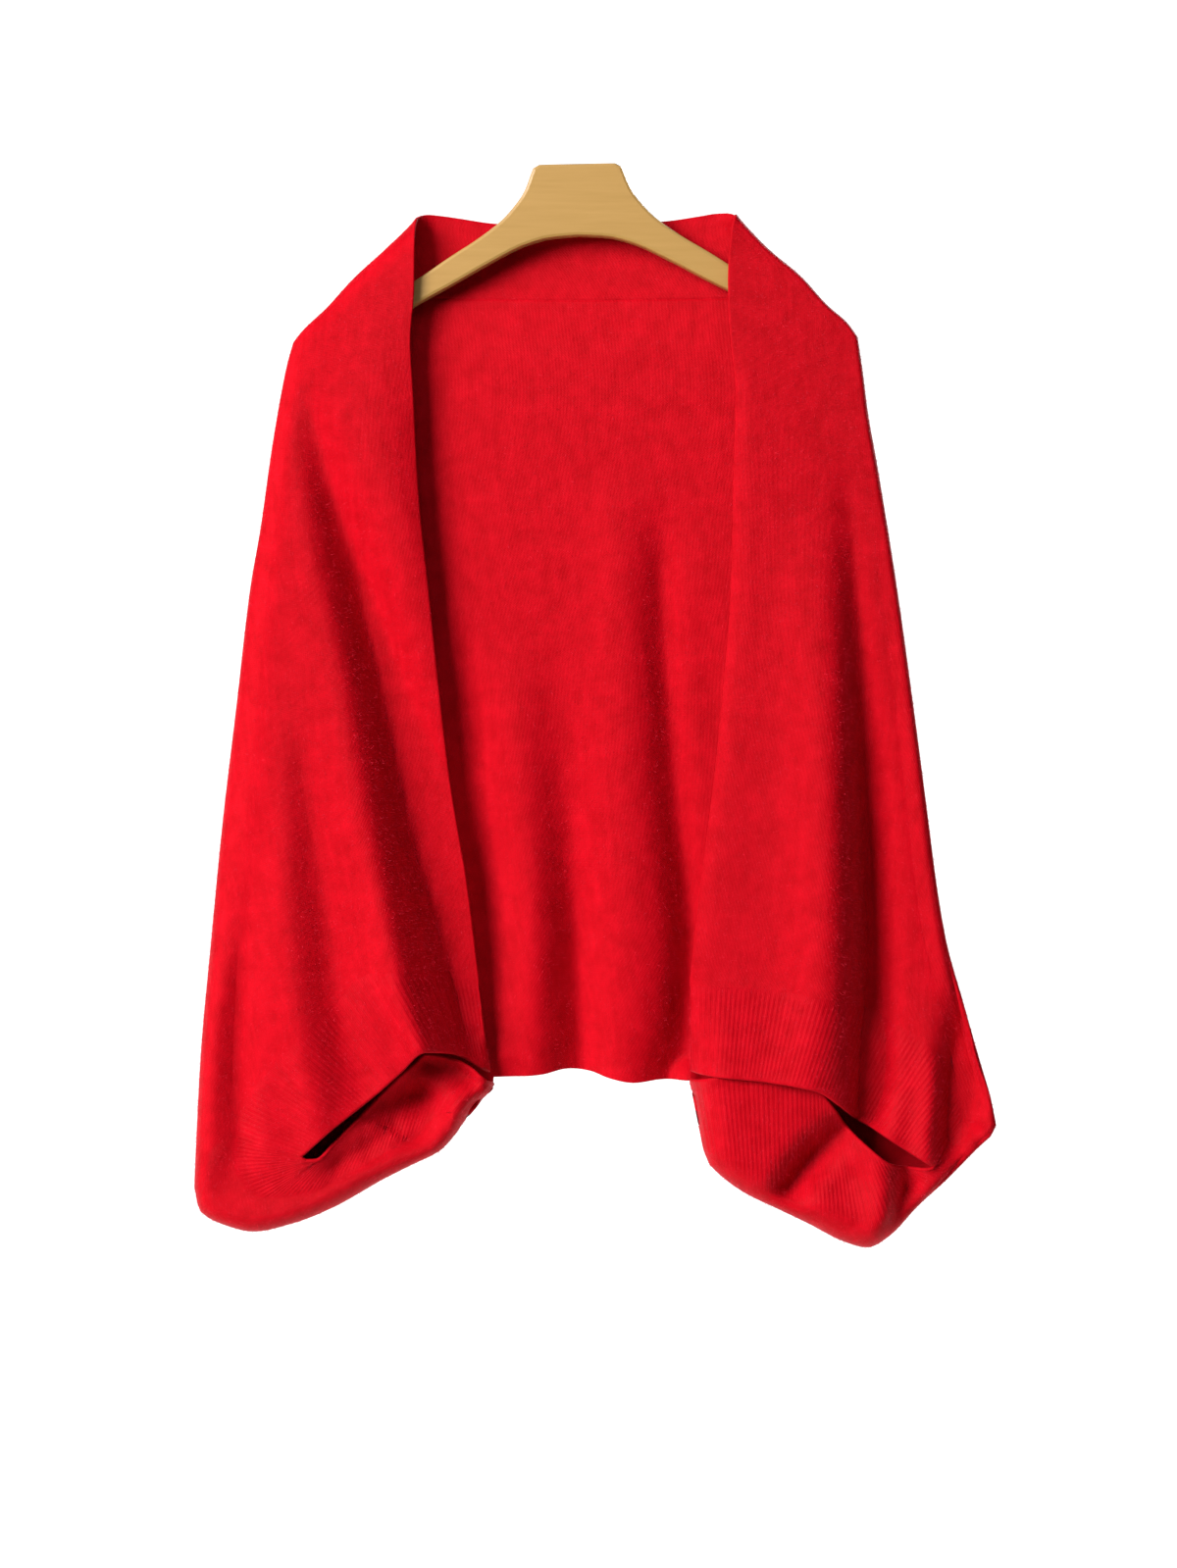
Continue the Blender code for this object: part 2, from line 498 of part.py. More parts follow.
def make_back_panel(material):
    shares = np.linspace(0.0, 1.0, BACK_COLUMNS + 1)
    rows = [0.0] + even(0.0, 1.0, BODY_ROWS - 1)
    top = at_shares(curve(NECK_SEAM), shares)
    foot = at_shares(curve(HEM), shares)
    inner = at_shares(RIGHT_SIDE.lines["BACK_SEAM"], rows)
    outer = at_shares(LEFT_SIDE.lines["BACK_SEAM"], rows)
    middle, away = surface(back_depth, None, patch(top, foot, inner, outer, rows), -1.0)
    return wall("back_panel", draw_in(middle, away, ["top", "inner", "outer"]), away, CLOTH, material)


def make_collar(material):
    shares = np.linspace(0.0, 1.0, BACK_COLUMNS + 1)
    rows = np.array(COLLAR_ROWS) / COLLAR_ROWS[-1]
    top = at_shares(curve(COLLAR_TOP), shares)
    foot = at_shares(curve(NECK_SEAM), shares)
    inner = top[0][None] * (1 - rows[:, None]) + foot[0][None] * rows[:, None]
    outer = top[-1][None] * (1 - rows[:, None]) + foot[-1][None] * rows[:, None]
    middle, away = surface(back_depth, None, patch(top, foot, inner, outer, rows), -1.0)
    return wall("collar", draw_in(middle, away, ["foot", "inner", "outer"]), away, CLOTH, material)


def make_hanger(material):
    """A flat plate cut to the hanger's line, with its edges rounded and a hole for a hook in its top."""
    half_top = curve(HANGER_TOP, HANGER_TOP_STEP)
    half_foot = curve(HANGER_FOOT, HANGER_FOOT_STEP)
    right = np.vstack([half_top, [ARM_TIP_END], half_foot[::-1]])
    left = right[::-1][1:-1] * (-1, 1)
    line = np.vstack([right, left]) * MM
    build = bmesh.new()
    face = build.faces.new([build.verts.new((x, -0.5 * HANGER_THICKNESS * MM, z)) for x, z in line])
    grown = bmesh.ops.extrude_face_region(build, geom=[face])
    moved = [item for item in grown["geom"] if isinstance(item, bmesh.types.BMVert)]
    bmesh.ops.translate(build, verts=moved, vec=(0, HANGER_THICKNESS * MM, 0))
    bmesh.ops.recalc_face_normals(build, faces=build.faces)
    mesh = bpy.data.meshes.new("hanger")
    build.to_mesh(mesh)
    build.free()
    mesh.materials.append(material)
    hanger = bpy.data.objects.new("hanger", mesh)
    bpy.context.scene.collection.objects.link(hanger)
    hanger.rotation_euler = (0, -radians(HANGER_TILT), 0)
    edge = hanger.modifiers.new("rounded edges", "BEVEL")
    edge.width = HANGER_EDGE * MM
    edge.segments = HANGER_EDGE_STEPS
    edge.limit_method = "ANGLE"
    edge.angle_limit = radians(HANGER_EDGE_ANGLE)
    build = bmesh.new()
    bmesh.ops.create_cone(build, cap_ends=True, segments=HOOK_HOLE_SIDES, radius1=0.5 * HOOK_HOLE * MM,
                          radius2=0.5 * HOOK_HOLE * MM, depth=2 * HOOK_HOLE_DEPTH * MM)
    hole_mesh = bpy.data.meshes.new("hook_hole")
    build.to_mesh(hole_mesh)
    build.free()
    hole = bpy.data.objects.new("hook_hole", hole_mesh)
    bpy.context.scene.collection.objects.link(hole)
    hole.parent = hanger
    hole.hide_render = True
    hole.display_type = "WIRE"
    cut = hanger.modifiers.new("hole for a hook", "BOOLEAN")
    cut.operation = "DIFFERENCE"
    cut.solver = "EXACT"
    cut.object = hole
    return hanger


def make_material(name, colour, roughness, sheen=0.0):
    material = bpy.data.materials.new(name)
    material.use_nodes = True
    shader = material.node_tree.nodes["Principled BSDF"]
    shader.inputs["Base Color"].default_value = colour
    shader.inputs["Roughness"].default_value = roughness
    shader.inputs["Metallic"].default_value = 0.0
    shader.inputs["Sheen Weight"].default_value = sheen
    return material


def main():
    for item in list(bpy.data.objects):
        bpy.data.objects.remove(item, do_unlink=True)
    knit = make_material("red brushed knit", KNIT_COLOUR, 0.9, 0.4)
    rib = make_material("red rib", RIB_COLOUR, 0.88, 0.3)
    wood = make_material("light wood", WOOD_COLOUR, 0.45)
    make_hanger(wood)
    make_collar(knit)
    make_back_panel(knit)
    for side in (RIGHT_SIDE, LEFT_SIDE):
        corner = side.lines["RIDGE"][0]
        make_front(side, knit)
        make_sleeve(side, corner, knit)
        make_cuff_half(side, "upper", front_depth, rib)
        make_cuff_half(side, "lower", under_depth, rib)


main()
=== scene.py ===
"""The looks of an open batwing shawl cardigan of fine brushed knit, hung flat on a wooden hanger.

Each cloth piece is a thin shell about a middle surface. A place on a surface is a pair (x, z) seen from the front,
and the depth y there is worked out from the distance to the garment's outline, a table of depths and the folds.
Tables are in millimetres, x to the viewer's right, z up, y away from the viewer. The origin is the middle of the
hanger's top edge. Sides are the wearer's, so the wearer's right is at the viewer's left, where x is negative.
"""

from math import atan, pi, radians

import bpy
import numpy as np
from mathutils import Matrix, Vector


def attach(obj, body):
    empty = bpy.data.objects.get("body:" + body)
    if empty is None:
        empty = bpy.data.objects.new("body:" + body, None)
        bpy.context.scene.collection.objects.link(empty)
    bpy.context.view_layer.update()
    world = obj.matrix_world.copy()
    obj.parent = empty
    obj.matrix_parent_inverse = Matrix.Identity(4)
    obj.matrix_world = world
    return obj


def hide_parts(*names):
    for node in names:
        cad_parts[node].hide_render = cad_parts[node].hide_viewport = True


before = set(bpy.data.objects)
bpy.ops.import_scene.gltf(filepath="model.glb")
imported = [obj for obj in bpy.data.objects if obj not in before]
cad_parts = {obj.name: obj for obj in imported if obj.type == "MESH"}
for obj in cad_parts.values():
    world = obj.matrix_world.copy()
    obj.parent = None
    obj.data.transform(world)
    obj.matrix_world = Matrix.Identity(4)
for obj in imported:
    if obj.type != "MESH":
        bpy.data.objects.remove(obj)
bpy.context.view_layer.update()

MM = 0.001

# Cloth
CLOTH = 2.0             # thickness of the knit
RIB = 2.5               # thickness of the ribbed cuffs between their ridges
STEP = 4.0              # spacing of a cloth's grid
FOLD_STEPS = 11         # grid steps round a quarter of a fold
FOLD_SPAN = 36.0        # the folds along the outline, the foot, the ridge and the free edge are gridded finely
FOOT_SPAN = 30.0        # over these distances
RIDGE_SPAN = 18.0
EDGE_SPAN = 8.0
SIDE_WIDTH = 190.0      # rough sizes from which the grids' steps are counted
SIDE_LENGTH = 720.0
TAIL_LENGTH = 40.0
UNDER_LENGTH = 50.0
BACK_WIDTH = 280.0
RIM_STEPS = 4           # steps round a free edge
PATH_STEP = 3.0         # steps along a curve, and along the path of a fold
FOLD_PATH_STEP = 12.0
SLOPE_STEP = 0.3        # a surface's slope is read over this distance to each side
AT_FOLD = 0.05          # a place nearer than this to the outline lies on its fold
WELD = 0.02             # places nearer than this are one point
TINY = 1e-9

# Rib
RIB_WALE = 3.1          # spacing of the cuff's ribs
RIB_SAMPLES = 4         # grid columns for each rib
RIB_HEIGHT = 0.46       # how far a rib stands proud of the furrow beside it
RIB_SHARPNESS = 0.7     # below 1 the ridges are broader than the furrows
RIB_ROWS = 26
RIB_DEPTH = 60.0        # the cuff's depth in cloth coordinates
RIB_STARTS = 0.03       # shares of the depth over which the ridges rise at the lip and end at the rib's line
RIB_ENDS = 0.1
LIP_BEAD = 1.1          # how much thicker the rib is at its cast-off lip, and the distance over which it is
LIP_BEAD_REACH = 3.5
WELT = 0.9              # how much thicker the knit is beside the neck seam
WELT_REACH = 2.6
GROOVE = 0.45           # how much thinner the knit is in the seam's groove, and the groove's width
GROOVE_REACH = 0.6
WELT_ROWS = (0.5, 1.0, 1.6, 2.3, 3.2, 4.4, 6.0)
LIP_TURN = 0.33         # share of the cuff over which its ribs fan out about the mouth's corner
FREE_REACH = 0.6        # a rim is a free edge within this distance of the edge's line, and of the lips
LIP_REACH = 0.8

# Columns: z, front depth at the sleeve, front depth at the opening, back depth, radius of the fold at the outline.
DEPTHS = [(-38, 13, 15, 13, 18),
          (-104, 12, 18, 13, 15),
          (-142, 10, 20, 11, 12),
          (-250, 16, 25, 14, 20),
          (-400, 23, 30, 17, 28),
          (-550, 30, 34, 20, 33),
          (-650, 35, 36, 22, 35),
          (-725, 38, 36, 24, 36),
          (-800, 38, 34, 26, 36),
          (-862, 34, 30, 24, 34)]
UNDER_DEPTH = 30.0      # how far forward the part that turns under stands
COLLAR_BOW = 5.0        # how far the collar bows back in its middle, and the heights over which the bow grows
COLLAR_BOW_FROM = -150.0
COLLAR_BOW_OVER = 60.0
COLLAR_HALF_WIDTH = 124.0
FREE_EDGE_CLOSE = (-625.0, -712.0)      # heights between which the free edge closes on the cloth behind it
FREE_EDGE_RADIUS = 30.0
EDGE_AT_HEM = 4.5       # how far in front of the outline's line the closed edge lies
HEM_END_DEPTH = 24.0    # at the hem's ends the outline's own line lies this far back
HEM_END_REACH = 40.0
HEM_END_CLEAR = 8.0     # nearer than this to the hem's end a front doesn't turn out along the outline
LEAST_STAND = 3.0       # a front stands at least this far forward, from this distance to the outline on
LEAST_STAND_REACH = 6.0
FOLD_SLACK = 10.0       # how far behind the outline's line a front's fold may reach, away from the outline
FOLD_SLACK_REACH = 30.0
SLACK_FOOT = -700.0     # from this height down the fronts keep clear of the cuffs
SLACK_FOOT_REACH = 40.0
FOLD_FADE = 20.0        # folds fade out over this distance to the outline
SPLIT_BLEND = 34.0      # the front and the part that turns under are one surface at the split

# ROLL's columns: z, depth and width of the curled edge. TURN's: z, share of the fold's radius that the front takes.
# Other columns: x, z. RIDGE, OUTER, FOOT, BOTTOM and INNER_SIDE are the outline from the neck round to the hem's end.
# EDGE is the opening's free edge. The lips are the cuff's two edges, LOWER_LIP read back from the mouth's corner.
# RIB_UPPER and RIB_LOWER are the line where rib meets stocking stitch, and SPLIT runs from their corner to FOOT.
RIGHT = dict(
    ROLL=[(-60, 0, 50), (-142, 8, 60), (-220, 14, 58), (-300, 17, 54), (-380, 18, 46), (-500, 16, 36), (-600, 14, 30),
          (-700, 11, 28)],
    TURN=[(-540, 1.0), (-680, 0.4)], UNDER_TURN=0.4,
    RIDGE=[(-127.5, -43), (-131, -47.5), (-152, -68), (-177, -91), (-199, -115), (-218, -133), (-225, -142)],
    OUTER=[(-225, -142), (-230, -160), (-241, -220), (-251, -290), (-259, -337), (-270, -431), (-281, -524),
           (-290, -618), (-298, -711), (-302, -790)],
    FOOT=[(-302, -790), (-303, -812)],
    BOTTOM=[(-303, -812), (-299, -830), (-284, -840), (-256, -847), (-224, -840), (-194, -828), (-153, -805),
            (-131, -794), (-109, -783), (-97, -770)],
    INNER_SIDE=[(-97, -770), (-89, -758), (-81, -746), (-68, -736), (-67, -727)],
    EDGE=[(-127.5, -43), (-129, -56), (-130, -103), (-133, -142), (-131, -181), (-127, -259), (-119, -337),
          (-111, -415), (-102, -493), (-89, -571), (-79, -652)],
    BACK_SEAM=[(-140, -104.5), (-143, -180), (-138, -260), (-128, -360), (-115, -470), (-98, -580), (-80, -670),
               (-67, -727)],
    UPPER_LIP=[(-70, -722), (-84, -712), (-100, -704), (-119, -701), (-138, -717), (-157, -734), (-196, -765),
               (-217, -784)],
    LOWER_LIP=[(-217, -784), (-213, -788), (-205, -788), (-192, -777), (-173, -758), (-156, -740), (-138, -722.5),
               (-128, -713.5), (-119, -707), (-108, -708.5), (-98, -711.5), (-84, -718.5), (-67.5, -732)],
    RIB_UPPER=[(-79, -652), (-110, -641), (-160, -641), (-195, -670), (-230, -706), (-258, -738), (-272, -768)],
    RIB_LOWER=[(-272, -768), (-268, -798), (-245, -818), (-215, -816), (-186, -803), (-156, -786), (-130, -770),
               (-112, -757), (-99, -751), (-88.5, -757.5)],
    SPLIT=[(-272, -768), (-302, -790)])
LEFT = dict(
    ROLL=[(-120, 0, 12), (-200, 2.5, 14), (-300, 4, 15), (-500, 4, 15), (-640, 2, 14)],
    TURN=[(-100, 0.2), (-800, 0.2)], UNDER_TURN=0.6,
    RIDGE=[(126, -41), (130, -46), (151, -68), (178, -91), (198, -113), (214, -127), (222, -138)],
    OUTER=[(222, -138), (226, -165), (230, -197), (238, -243), (253, -337), (266, -431), (278, -524), (284, -571),
           (292, -618), (305, -665), (318, -711), (327, -742), (331, -762)],
    FOOT=[(331, -762), (327, -771)],
    BOTTOM=[(327, -771), (316, -782), (293, -805), (269, -828), (247, -851), (230, -860), (214, -856),
            (184, -841), (159, -829), (134, -817), (118, -806), (106, -795)],
    INNER_SIDE=[(106, -795), (101, -782), (97, -758), (94, -742), (90, -730)],
    EDGE=[(126, -41), (122.5, -56), (120, -95), (122, -142), (126, -181), (124, -259), (122, -337), (116, -415),
          (108, -493), (98, -571), (89, -651)],
    BACK_SEAM=[(138, -104.5), (138, -200), (134, -300), (126, -420), (115, -540), (101, -650), (90, -730)],
    UPPER_LIP=[(91, -720), (140, -724), (170, -728), (188, -732), (205, -743), (222, -757), (236, -765),
               (258, -779), (281, -793)],
    LOWER_LIP=[(281, -793), (279, -796), (270, -797), (258, -796), (246, -792.5), (230, -781), (213, -765),
               (200, -747), (186, -732), (165, -722.5), (140, -720), (122, -723), (106, -725.5), (91, -729)],
    RIB_UPPER=[(89, -651), (140, -653), (190, -660), (222, -668), (252, -682), (280, -700), (299, -728), (306, -757)],
    RIB_LOWER=[(306, -757), (305, -775), (295, -792), (279, -809), (255, -829), (232, -842), (208, -838),
               (180, -826), (145, -811), (122, -797), (102, -785)],
    SPLIT=[(306, -757), (331, -762)])
COLLAR_TOP = [(-127.5, -43), (-124.5, -39.8), (-118, -38.5), (-108, -39.3), (-95, -41), (-65, -45), (0, -47),
              (71, -43), (100, -39), (112, -37.3), (121, -37.6), (126, -41)]
COLLAR_HEIGHT = 66.0
BACK_LENGTH = 622.0
NECK_SEAM = [(-140, -104.5), (0, -105.5), (138, -104.5)]
HEM = [(-67, -727), (-29, -724.5), (-9, -721), (10, -723), (26, -728), (46, -731.5), (68, -729.5), (90, -730)]

# Columns: x, z, depth, half width. A fold's depth is added along its path, and is minus where it stands forward.
RIGHT_FRONT_FOLDS = [
    [(-215, -175, 0, 11), (-205, -222, 8, 13), (-184, -298, 23, 17), (-161, -376, 36, 19), (-141, -454, 42, 22),
     (-122, -532, 46, 25), (-97, -610, 50, 28), (-87, -660, 46, 25), (-84, -705, 32, 20), (-82, -728, 10, 16)],
    [(-188, -200, 0, 18), (-160, -298, 8, 20), (-134, -376, 12, 22), (-114, -454, 14, 22), (-96, -532, 18, 22),
     (-84, -600, 14, 20), (-78, -680, 4, 20)],
    [(-196, -250, 0, 14), (-190, -337, 0, 18), (-182, -415, -2, 20), (-170, -493, -5, 18), (-154, -571, -9, 15),
     (-140, -649, -13, 14), (-122, -698, -15, 13)],
    [(-220, -440, 0, 12), (-206, -532, 5, 14), (-194, -610, 6, 15), (-184, -688, 6, 17), (-170, -727, 5, 16),
     (-166, -748, 0, 14)],
    [(-238, -400, 0, 14), (-236, -454, -2, 15), (-232, -532, -5, 16), (-227, -610, -8, 18), (-218, -688, -9, 19),
     (-208, -727, -9, 18), (-200, -780, -5, 16)],
    [(-262, -520, 0, 12), (-264, -610, 6, 12), (-266, -727, 9, 13), (-264, -800, 6, 13)]]
LEFT_FRONT_FOLDS = [
    [(212, -225, 0, 11), (219, -337, 7, 11), (224, -415, 14, 12), (228, -493, 24, 14), (231, -571, 33, 15),
     (233, -649, 36, 16), (232, -727, 38, 16), (228, -757, 32, 15)],
    [(232, -225, 0, 18), (240, -337, 5, 20), (250, -493, 13, 26), (268, -649, 20, 42), (284, -727, 24, 54),
     (284, -770, 20, 52)],
    [(184, -270, 0, 22), (190, -380, -8, 26), (195, -500, -12, 27), (195, -610, -13, 27), (189, -680, -11, 25),
     (180, -732, -7, 22)],
    [(272, -660, 0, 10), (278, -700, -6, 12), (279, -735, -10, 11), (274, -785, -9, 11)],
    [(298, -620, 0, 8), (304, -682, 13, 12), (308, -730, 25, 16), (304, -765, 24, 17), (297, -796, 6, 12)]]
UNDER_FOLDS = [
    [(208, -766, 18, 13), (188, -786, 26, 14), (168, -812, 22, 13)],
    [(222, -770, 4, 16), (214, -800, 9, 22)],
    [(236, -785, -5, 13), (240, -850, -8, 12)],
    [(268, -796, 28, 15), (260, -838, 24, 13)],
    [(-122, -742, 18, 24), (-124, -776, 14, 28), (-146, -796, 6, 22)],
    [(-148, -764, 6, 10), (-164, -778, 8, 11), (-188, -790, 6, 10)],
    [(-118, -712, 18, 12), (-98, -718, 22, 16), (-80, -728, 18, 16)],
    [(-166, -756, 6, 10), (-144, -744, 14, 14), (-124, -740, 14, 14)]]
BACK_FOLDS = [
    [(-52, -380, 0, 16), (-48, -454, -4, 18), (-43, -532, -5, 20), (-38, -610, -8, 22), (-38, -726, -9, 22)],
    [(-18, -380, 0, 16), (-11, -454, 4, 18), (-6, -532, 9, 18), (0, -610, 14, 18), (3, -726, 17, 18)],
    [(30, -240, 0, 18), (32, -320, -4, 20), (38, -493, -5, 24), (42, -640, -5, 26), (36, -728, -5, 24)],
    [(68, -260, 0, 12), (69, -337, 7, 13), (79, -493, 12, 15), (92, -640, 17, 17), (86, -728, 18, 24)],
    [(-100, -360, 0, 14), (-86, -480, 11, 19), (-74, -560, 13, 20), (-64, -640, 9, 18), (-60, -700, 2, 14)],
    [(96, -337, 0, 18), (108, -454, 6, 20), (116, -600, 7, 20)],
    [(-200, -260, 0, 18), (-196, -400, 7, 20), (-190, -560, 11, 22), (-186, -700, 8, 22)],
    [(-150, -330, 0, 16), (-146, -470, -8, 18), (-140, -620, -9, 18), (-136, -740, 0, 16)],
    [(196, -300, 0, 18), (204, -440, 9, 20), (212, -600, 12, 20), (216, -760, 8, 22)],
    [(150, -380, 0, 16), (154, -500, -7, 18), (160, -660, -9, 20), (168, -780, 0, 18)]]

# Each cloth's flat cut in metres, as width, length and area, before it was joined and hung
SIDE_CUT = (0.50, 0.84, 0.26)
CUFF_CUT = (0.44, 0.09, 0.036)
BACK_CUT = (0.29, 0.64, 0.16)
COLLAR_CUT = (0.28, 0.068, 0.018)

# Stitches of the stocking stitch, in metres, and how steeply their two legs slant
STITCH_WIDTH = 0.0022
STITCH_HEIGHT = 0.0019
STITCH_SLANT = 1.6

# Nap
NAP_LENGTH = (1.2, 4.2)  # least and greatest length of its fibres
NAP_WIDTH = 0.16        # width at a fibre's root
NAP_LIFT = 0.9          # how far the fibres stand up, are tousled and hang down
NAP_SPREAD = 0.5
NAP_DROOP = 0.3
NAP_DENSITY = 180000    # fibres on a square metre
OUTER_FACES = {}        # how many of each piece's faces are its outer ones, which come first

RIDGE_SHARE = 0.86      # share of the ridge that stands over the rib's line
BOTTOM_SHARE = 0.94     # share of the bottom fold that lies under the rib's line
COLLAR_SHARE = 0.108    # share of a side's height that the collar takes
SEAM_END = 0.9009       # shares of a sleeve's back at which its seam ends and at which its front's last row lies
FRONT_END = 0.9504


def smooth(t):
    t = np.clip(t, 0.0, 1.0)
    return t * t * (3.0 - 2.0 * t)


def curve(points, step=PATH_STEP):
    """A smooth curve through a table's rows that doesn't swing past them, read about every step."""
    rows = np.array(points, float)
    along = np.concatenate([[0.0], np.cumsum(np.hypot(*np.diff(rows[:, :2], axis=0).T))])
    gap = np.diff(along)
    slope = np.diff(rows, axis=0) / gap[:, None]
    tangent = np.vstack([slope[:1], np.zeros((len(rows) - 2, rows.shape[1])), slope[-1:]])
    same_way = slope[:-1] * slope[1:] > 0
    total = np.where(same_way, slope[:-1] + slope[1:], 1.0)
    tangent[1:-1] = np.where(same_way, 2.0 * slope[:-1] * slope[1:] / total, 0.0)
    at = np.linspace(0.0, along[-1], max(2, int(along[-1] / step) + 1))
    i = np.clip(np.searchsorted(along, at, side="right") - 1, 0, len(gap) - 1)
    h = gap[i][:, None]
    t = ((at - along[i]) / gap[i])[:, None]
    return ((2 * t**3 - 3 * t**2 + 1) * rows[i] + (t**3 - 2 * t**2 + t) * h * tangent[i]
            + (3 * t**2 - 2 * t**3) * rows[i + 1] + (t**3 - t**2) * h * tangent[i + 1])


def at_shares(path, shares):
    """The places on a path at the given shares of its length."""
    along = np.concatenate([[0.0], np.cumsum(np.hypot(*np.diff(path[:, :2], axis=0).T))])
    at = np.asarray(shares) * along[-1]
    return np.stack([np.interp(at, along, path[:, 0]), np.interp(at, along, path[:, 1])], axis=-1)


def nearest(path, x, z):
    """Each place's distance to a path, and the path's further columns where it is nearest."""
    gaps = np.full(x.size, np.inf)
    columns = np.zeros((x.size, path.shape[1] - 2))
    px, pz = x.ravel(), z.ravel()
    for a, b in zip(path[:-1], path[1:]):
        run = b[:2] - a[:2]
        share = np.clip(((px - a[0]) * run[0] + (pz - a[1]) * run[1]) / (run @ run), 0.0, 1.0)
        gap = np.hypot(px - a[0] - share * run[0], pz - a[1] - share * run[1])
        closer = gap < gaps
        gaps[closer] = gap[closer]
        if path.shape[1] > 2:
            columns[closer] = a[2:] + share[closer, None] * (b[2:] - a[2:])
    return gaps.reshape(x.shape), columns.reshape(x.shape + (-1,))


class Side:
    """One side of the cardigan: its outline and seams as curves."""

    def __init__(self, name, table, front_folds):
        self.name = name
        self.rolls = np.array(table["ROLL"], float)
        self.turns = np.array(table["TURN"])
        self.under_turn = table["UNDER_TURN"]
        self.lines = {key: curve(rows) for key, rows in table.items() if key not in ("ROLL", "TURN", "UNDER_TURN")}
        parts = [self.lines[key] for key in ("RIDGE", "OUTER", "FOOT", "BOTTOM", "INNER_SIDE")]
        self.outline = np.vstack([parts[0]] + [part[1:] for part in parts[1:]])
        self.outer = np.vstack([parts[0], parts[1][1:], parts[2][1:]])
        self.edge = np.vstack([self.lines["EDGE"], np.array(table["UPPER_LIP"][:1], float)])
        lip_end = np.array(table["UPPER_LIP"][-1:], float)
        self.split = np.vstack([lip_end, self.lines["SPLIT"]])
        self.front_folds = [curve(rows, FOLD_PATH_STEP) for rows in front_folds]

    def roll(self, z):
        """Depth and width of the opening's free edge where it curls back."""
        return [np.interp(-z, -self.rolls[:, 0], self.rolls[:, column]) for column in (1, 2)]

    def turn(self, z):
        return np.interp(-z, -self.turns[:, 0], self.turns[:, 1])

    def edge_x(self, z):
        return np.interp(-z, -self.edge[:, 1], self.edge[:, 0])

    def outer_x(self, z):
        return np.interp(-z, -self.outer[:, 1], self.outer[:, 0])


RIGHT_SIDE = Side("right", RIGHT, RIGHT_FRONT_FOLDS)
LEFT_SIDE = Side("left", LEFT, LEFT_FRONT_FOLDS)
UNDER_PATHS = [curve(rows, FOLD_PATH_STEP) for rows in UNDER_FOLDS]
BACK_PATHS = [curve(rows, FOLD_PATH_STEP) for rows in BACK_FOLDS]
DEPTH_ROWS = np.array(DEPTHS, float)


def depth_column(z, column):
    return np.interp(-z, -DEPTH_ROWS[:, 0], DEPTH_ROWS[:, column])


def folds(paths, x, z):
    """The sum of the folds' depths."""
    total = np.zeros(x.shape)
    for path in paths:
        gap, values = nearest(path, x, z)
        total += values[..., 0] * np.exp(-(gap / values[..., 1]) ** 2)
    return total


def outline_gap(x, z):
    """Distance to the garment's outline."""
    return np.minimum(nearest(RIGHT_SIDE.outline, x, z)[0], nearest(LEFT_SIDE.outline, x, z)[0])


def rounded(gap, radius):
    """How full a fold is at a distance from its outermost line: a quarter of an ellipse."""
    q = 1.0 - np.clip(gap / radius, 0.0, 1.0)
    return np.sqrt(1.0 - q * q)


def hem_end_gap(x, z):
    """Distance to the nearer end of the hem."""
    ends = [side.lines["INNER_SIDE"][-1] for side in (RIGHT_SIDE, LEFT_SIDE)]
    return np.minimum(*[np.hypot(x - end[0], z - end[1]) for end in ends])


def fold_line(x, z):
    """Depth of the outline's own line: 0, but back beside the hem where the sleeve's inner fold begins."""
    return HEM_END_DEPTH * np.exp(-(hem_end_gap(x, z) / HEM_END_REACH) ** 2)


def front_depth(side, x, z):
    """Middle surface of a front, from the shoulder ridge to the cuff's upper lip."""
    gap = outline_gap(x, z)
    width = side.edge_x(z) - side.outer_x(z)
    width = np.where(np.abs(width) < 1.0, 1.0, width)
    lean = np.clip((x - side.outer_x(z)) / width, 0.0, 1.0)
    full = depth_column(z, 1) * (1 - lean) + depth_column(z, 2) * lean
    depth = (-full * rounded(gap, depth_column(z, 4) * side.turn(z))
             + folds(side.front_folds, x, z) * smooth(gap / (FOLD_FADE * side.turn(z))))
    depth_of_roll, width_of_roll = side.roll(z)
    depth = depth + depth_of_roll * np.clip(1 - np.abs(x - side.edge_x(z)) / width_of_roll, 0.0, None) ** 2
    top, foot = FREE_EDGE_CLOSE
    closing = smooth((top - z) / (top - foot)) * (1 - rounded(np.abs(x - side.edge_x(z)), FREE_EDGE_RADIUS))
    line = fold_line(x, z)
    depth = depth * (1 - closing) + (line - EDGE_AT_HEM) * closing
    slack = (FOLD_SLACK * smooth((gap - LEAST_STAND_REACH) / FOLD_SLACK_REACH)
             * smooth((z - SLACK_FOOT) / SLACK_FOOT_REACH))
    return np.minimum(depth, line - LEAST_STAND * smooth(gap / LEAST_STAND_REACH) + slack)


def under_depth(side, x, z):
    """Middle surface of the part of a sleeve that has turned under and come up in front."""
    gap = outline_gap(x, z)
    line = fold_line(x, z)
    full = rounded(gap, depth_column(z, 4) * side.under_turn)
    turned = line * (1 - full) - UNDER_DEPTH * full + folds(UNDER_PATHS, x, z) * smooth(gap / FOLD_FADE)
    share = smooth(nearest(side.split, x, z)[0] / SPLIT_BLEND)
    depth = front_depth(side, x, z) * (1 - share) + turned * share
    return np.minimum(depth, line)


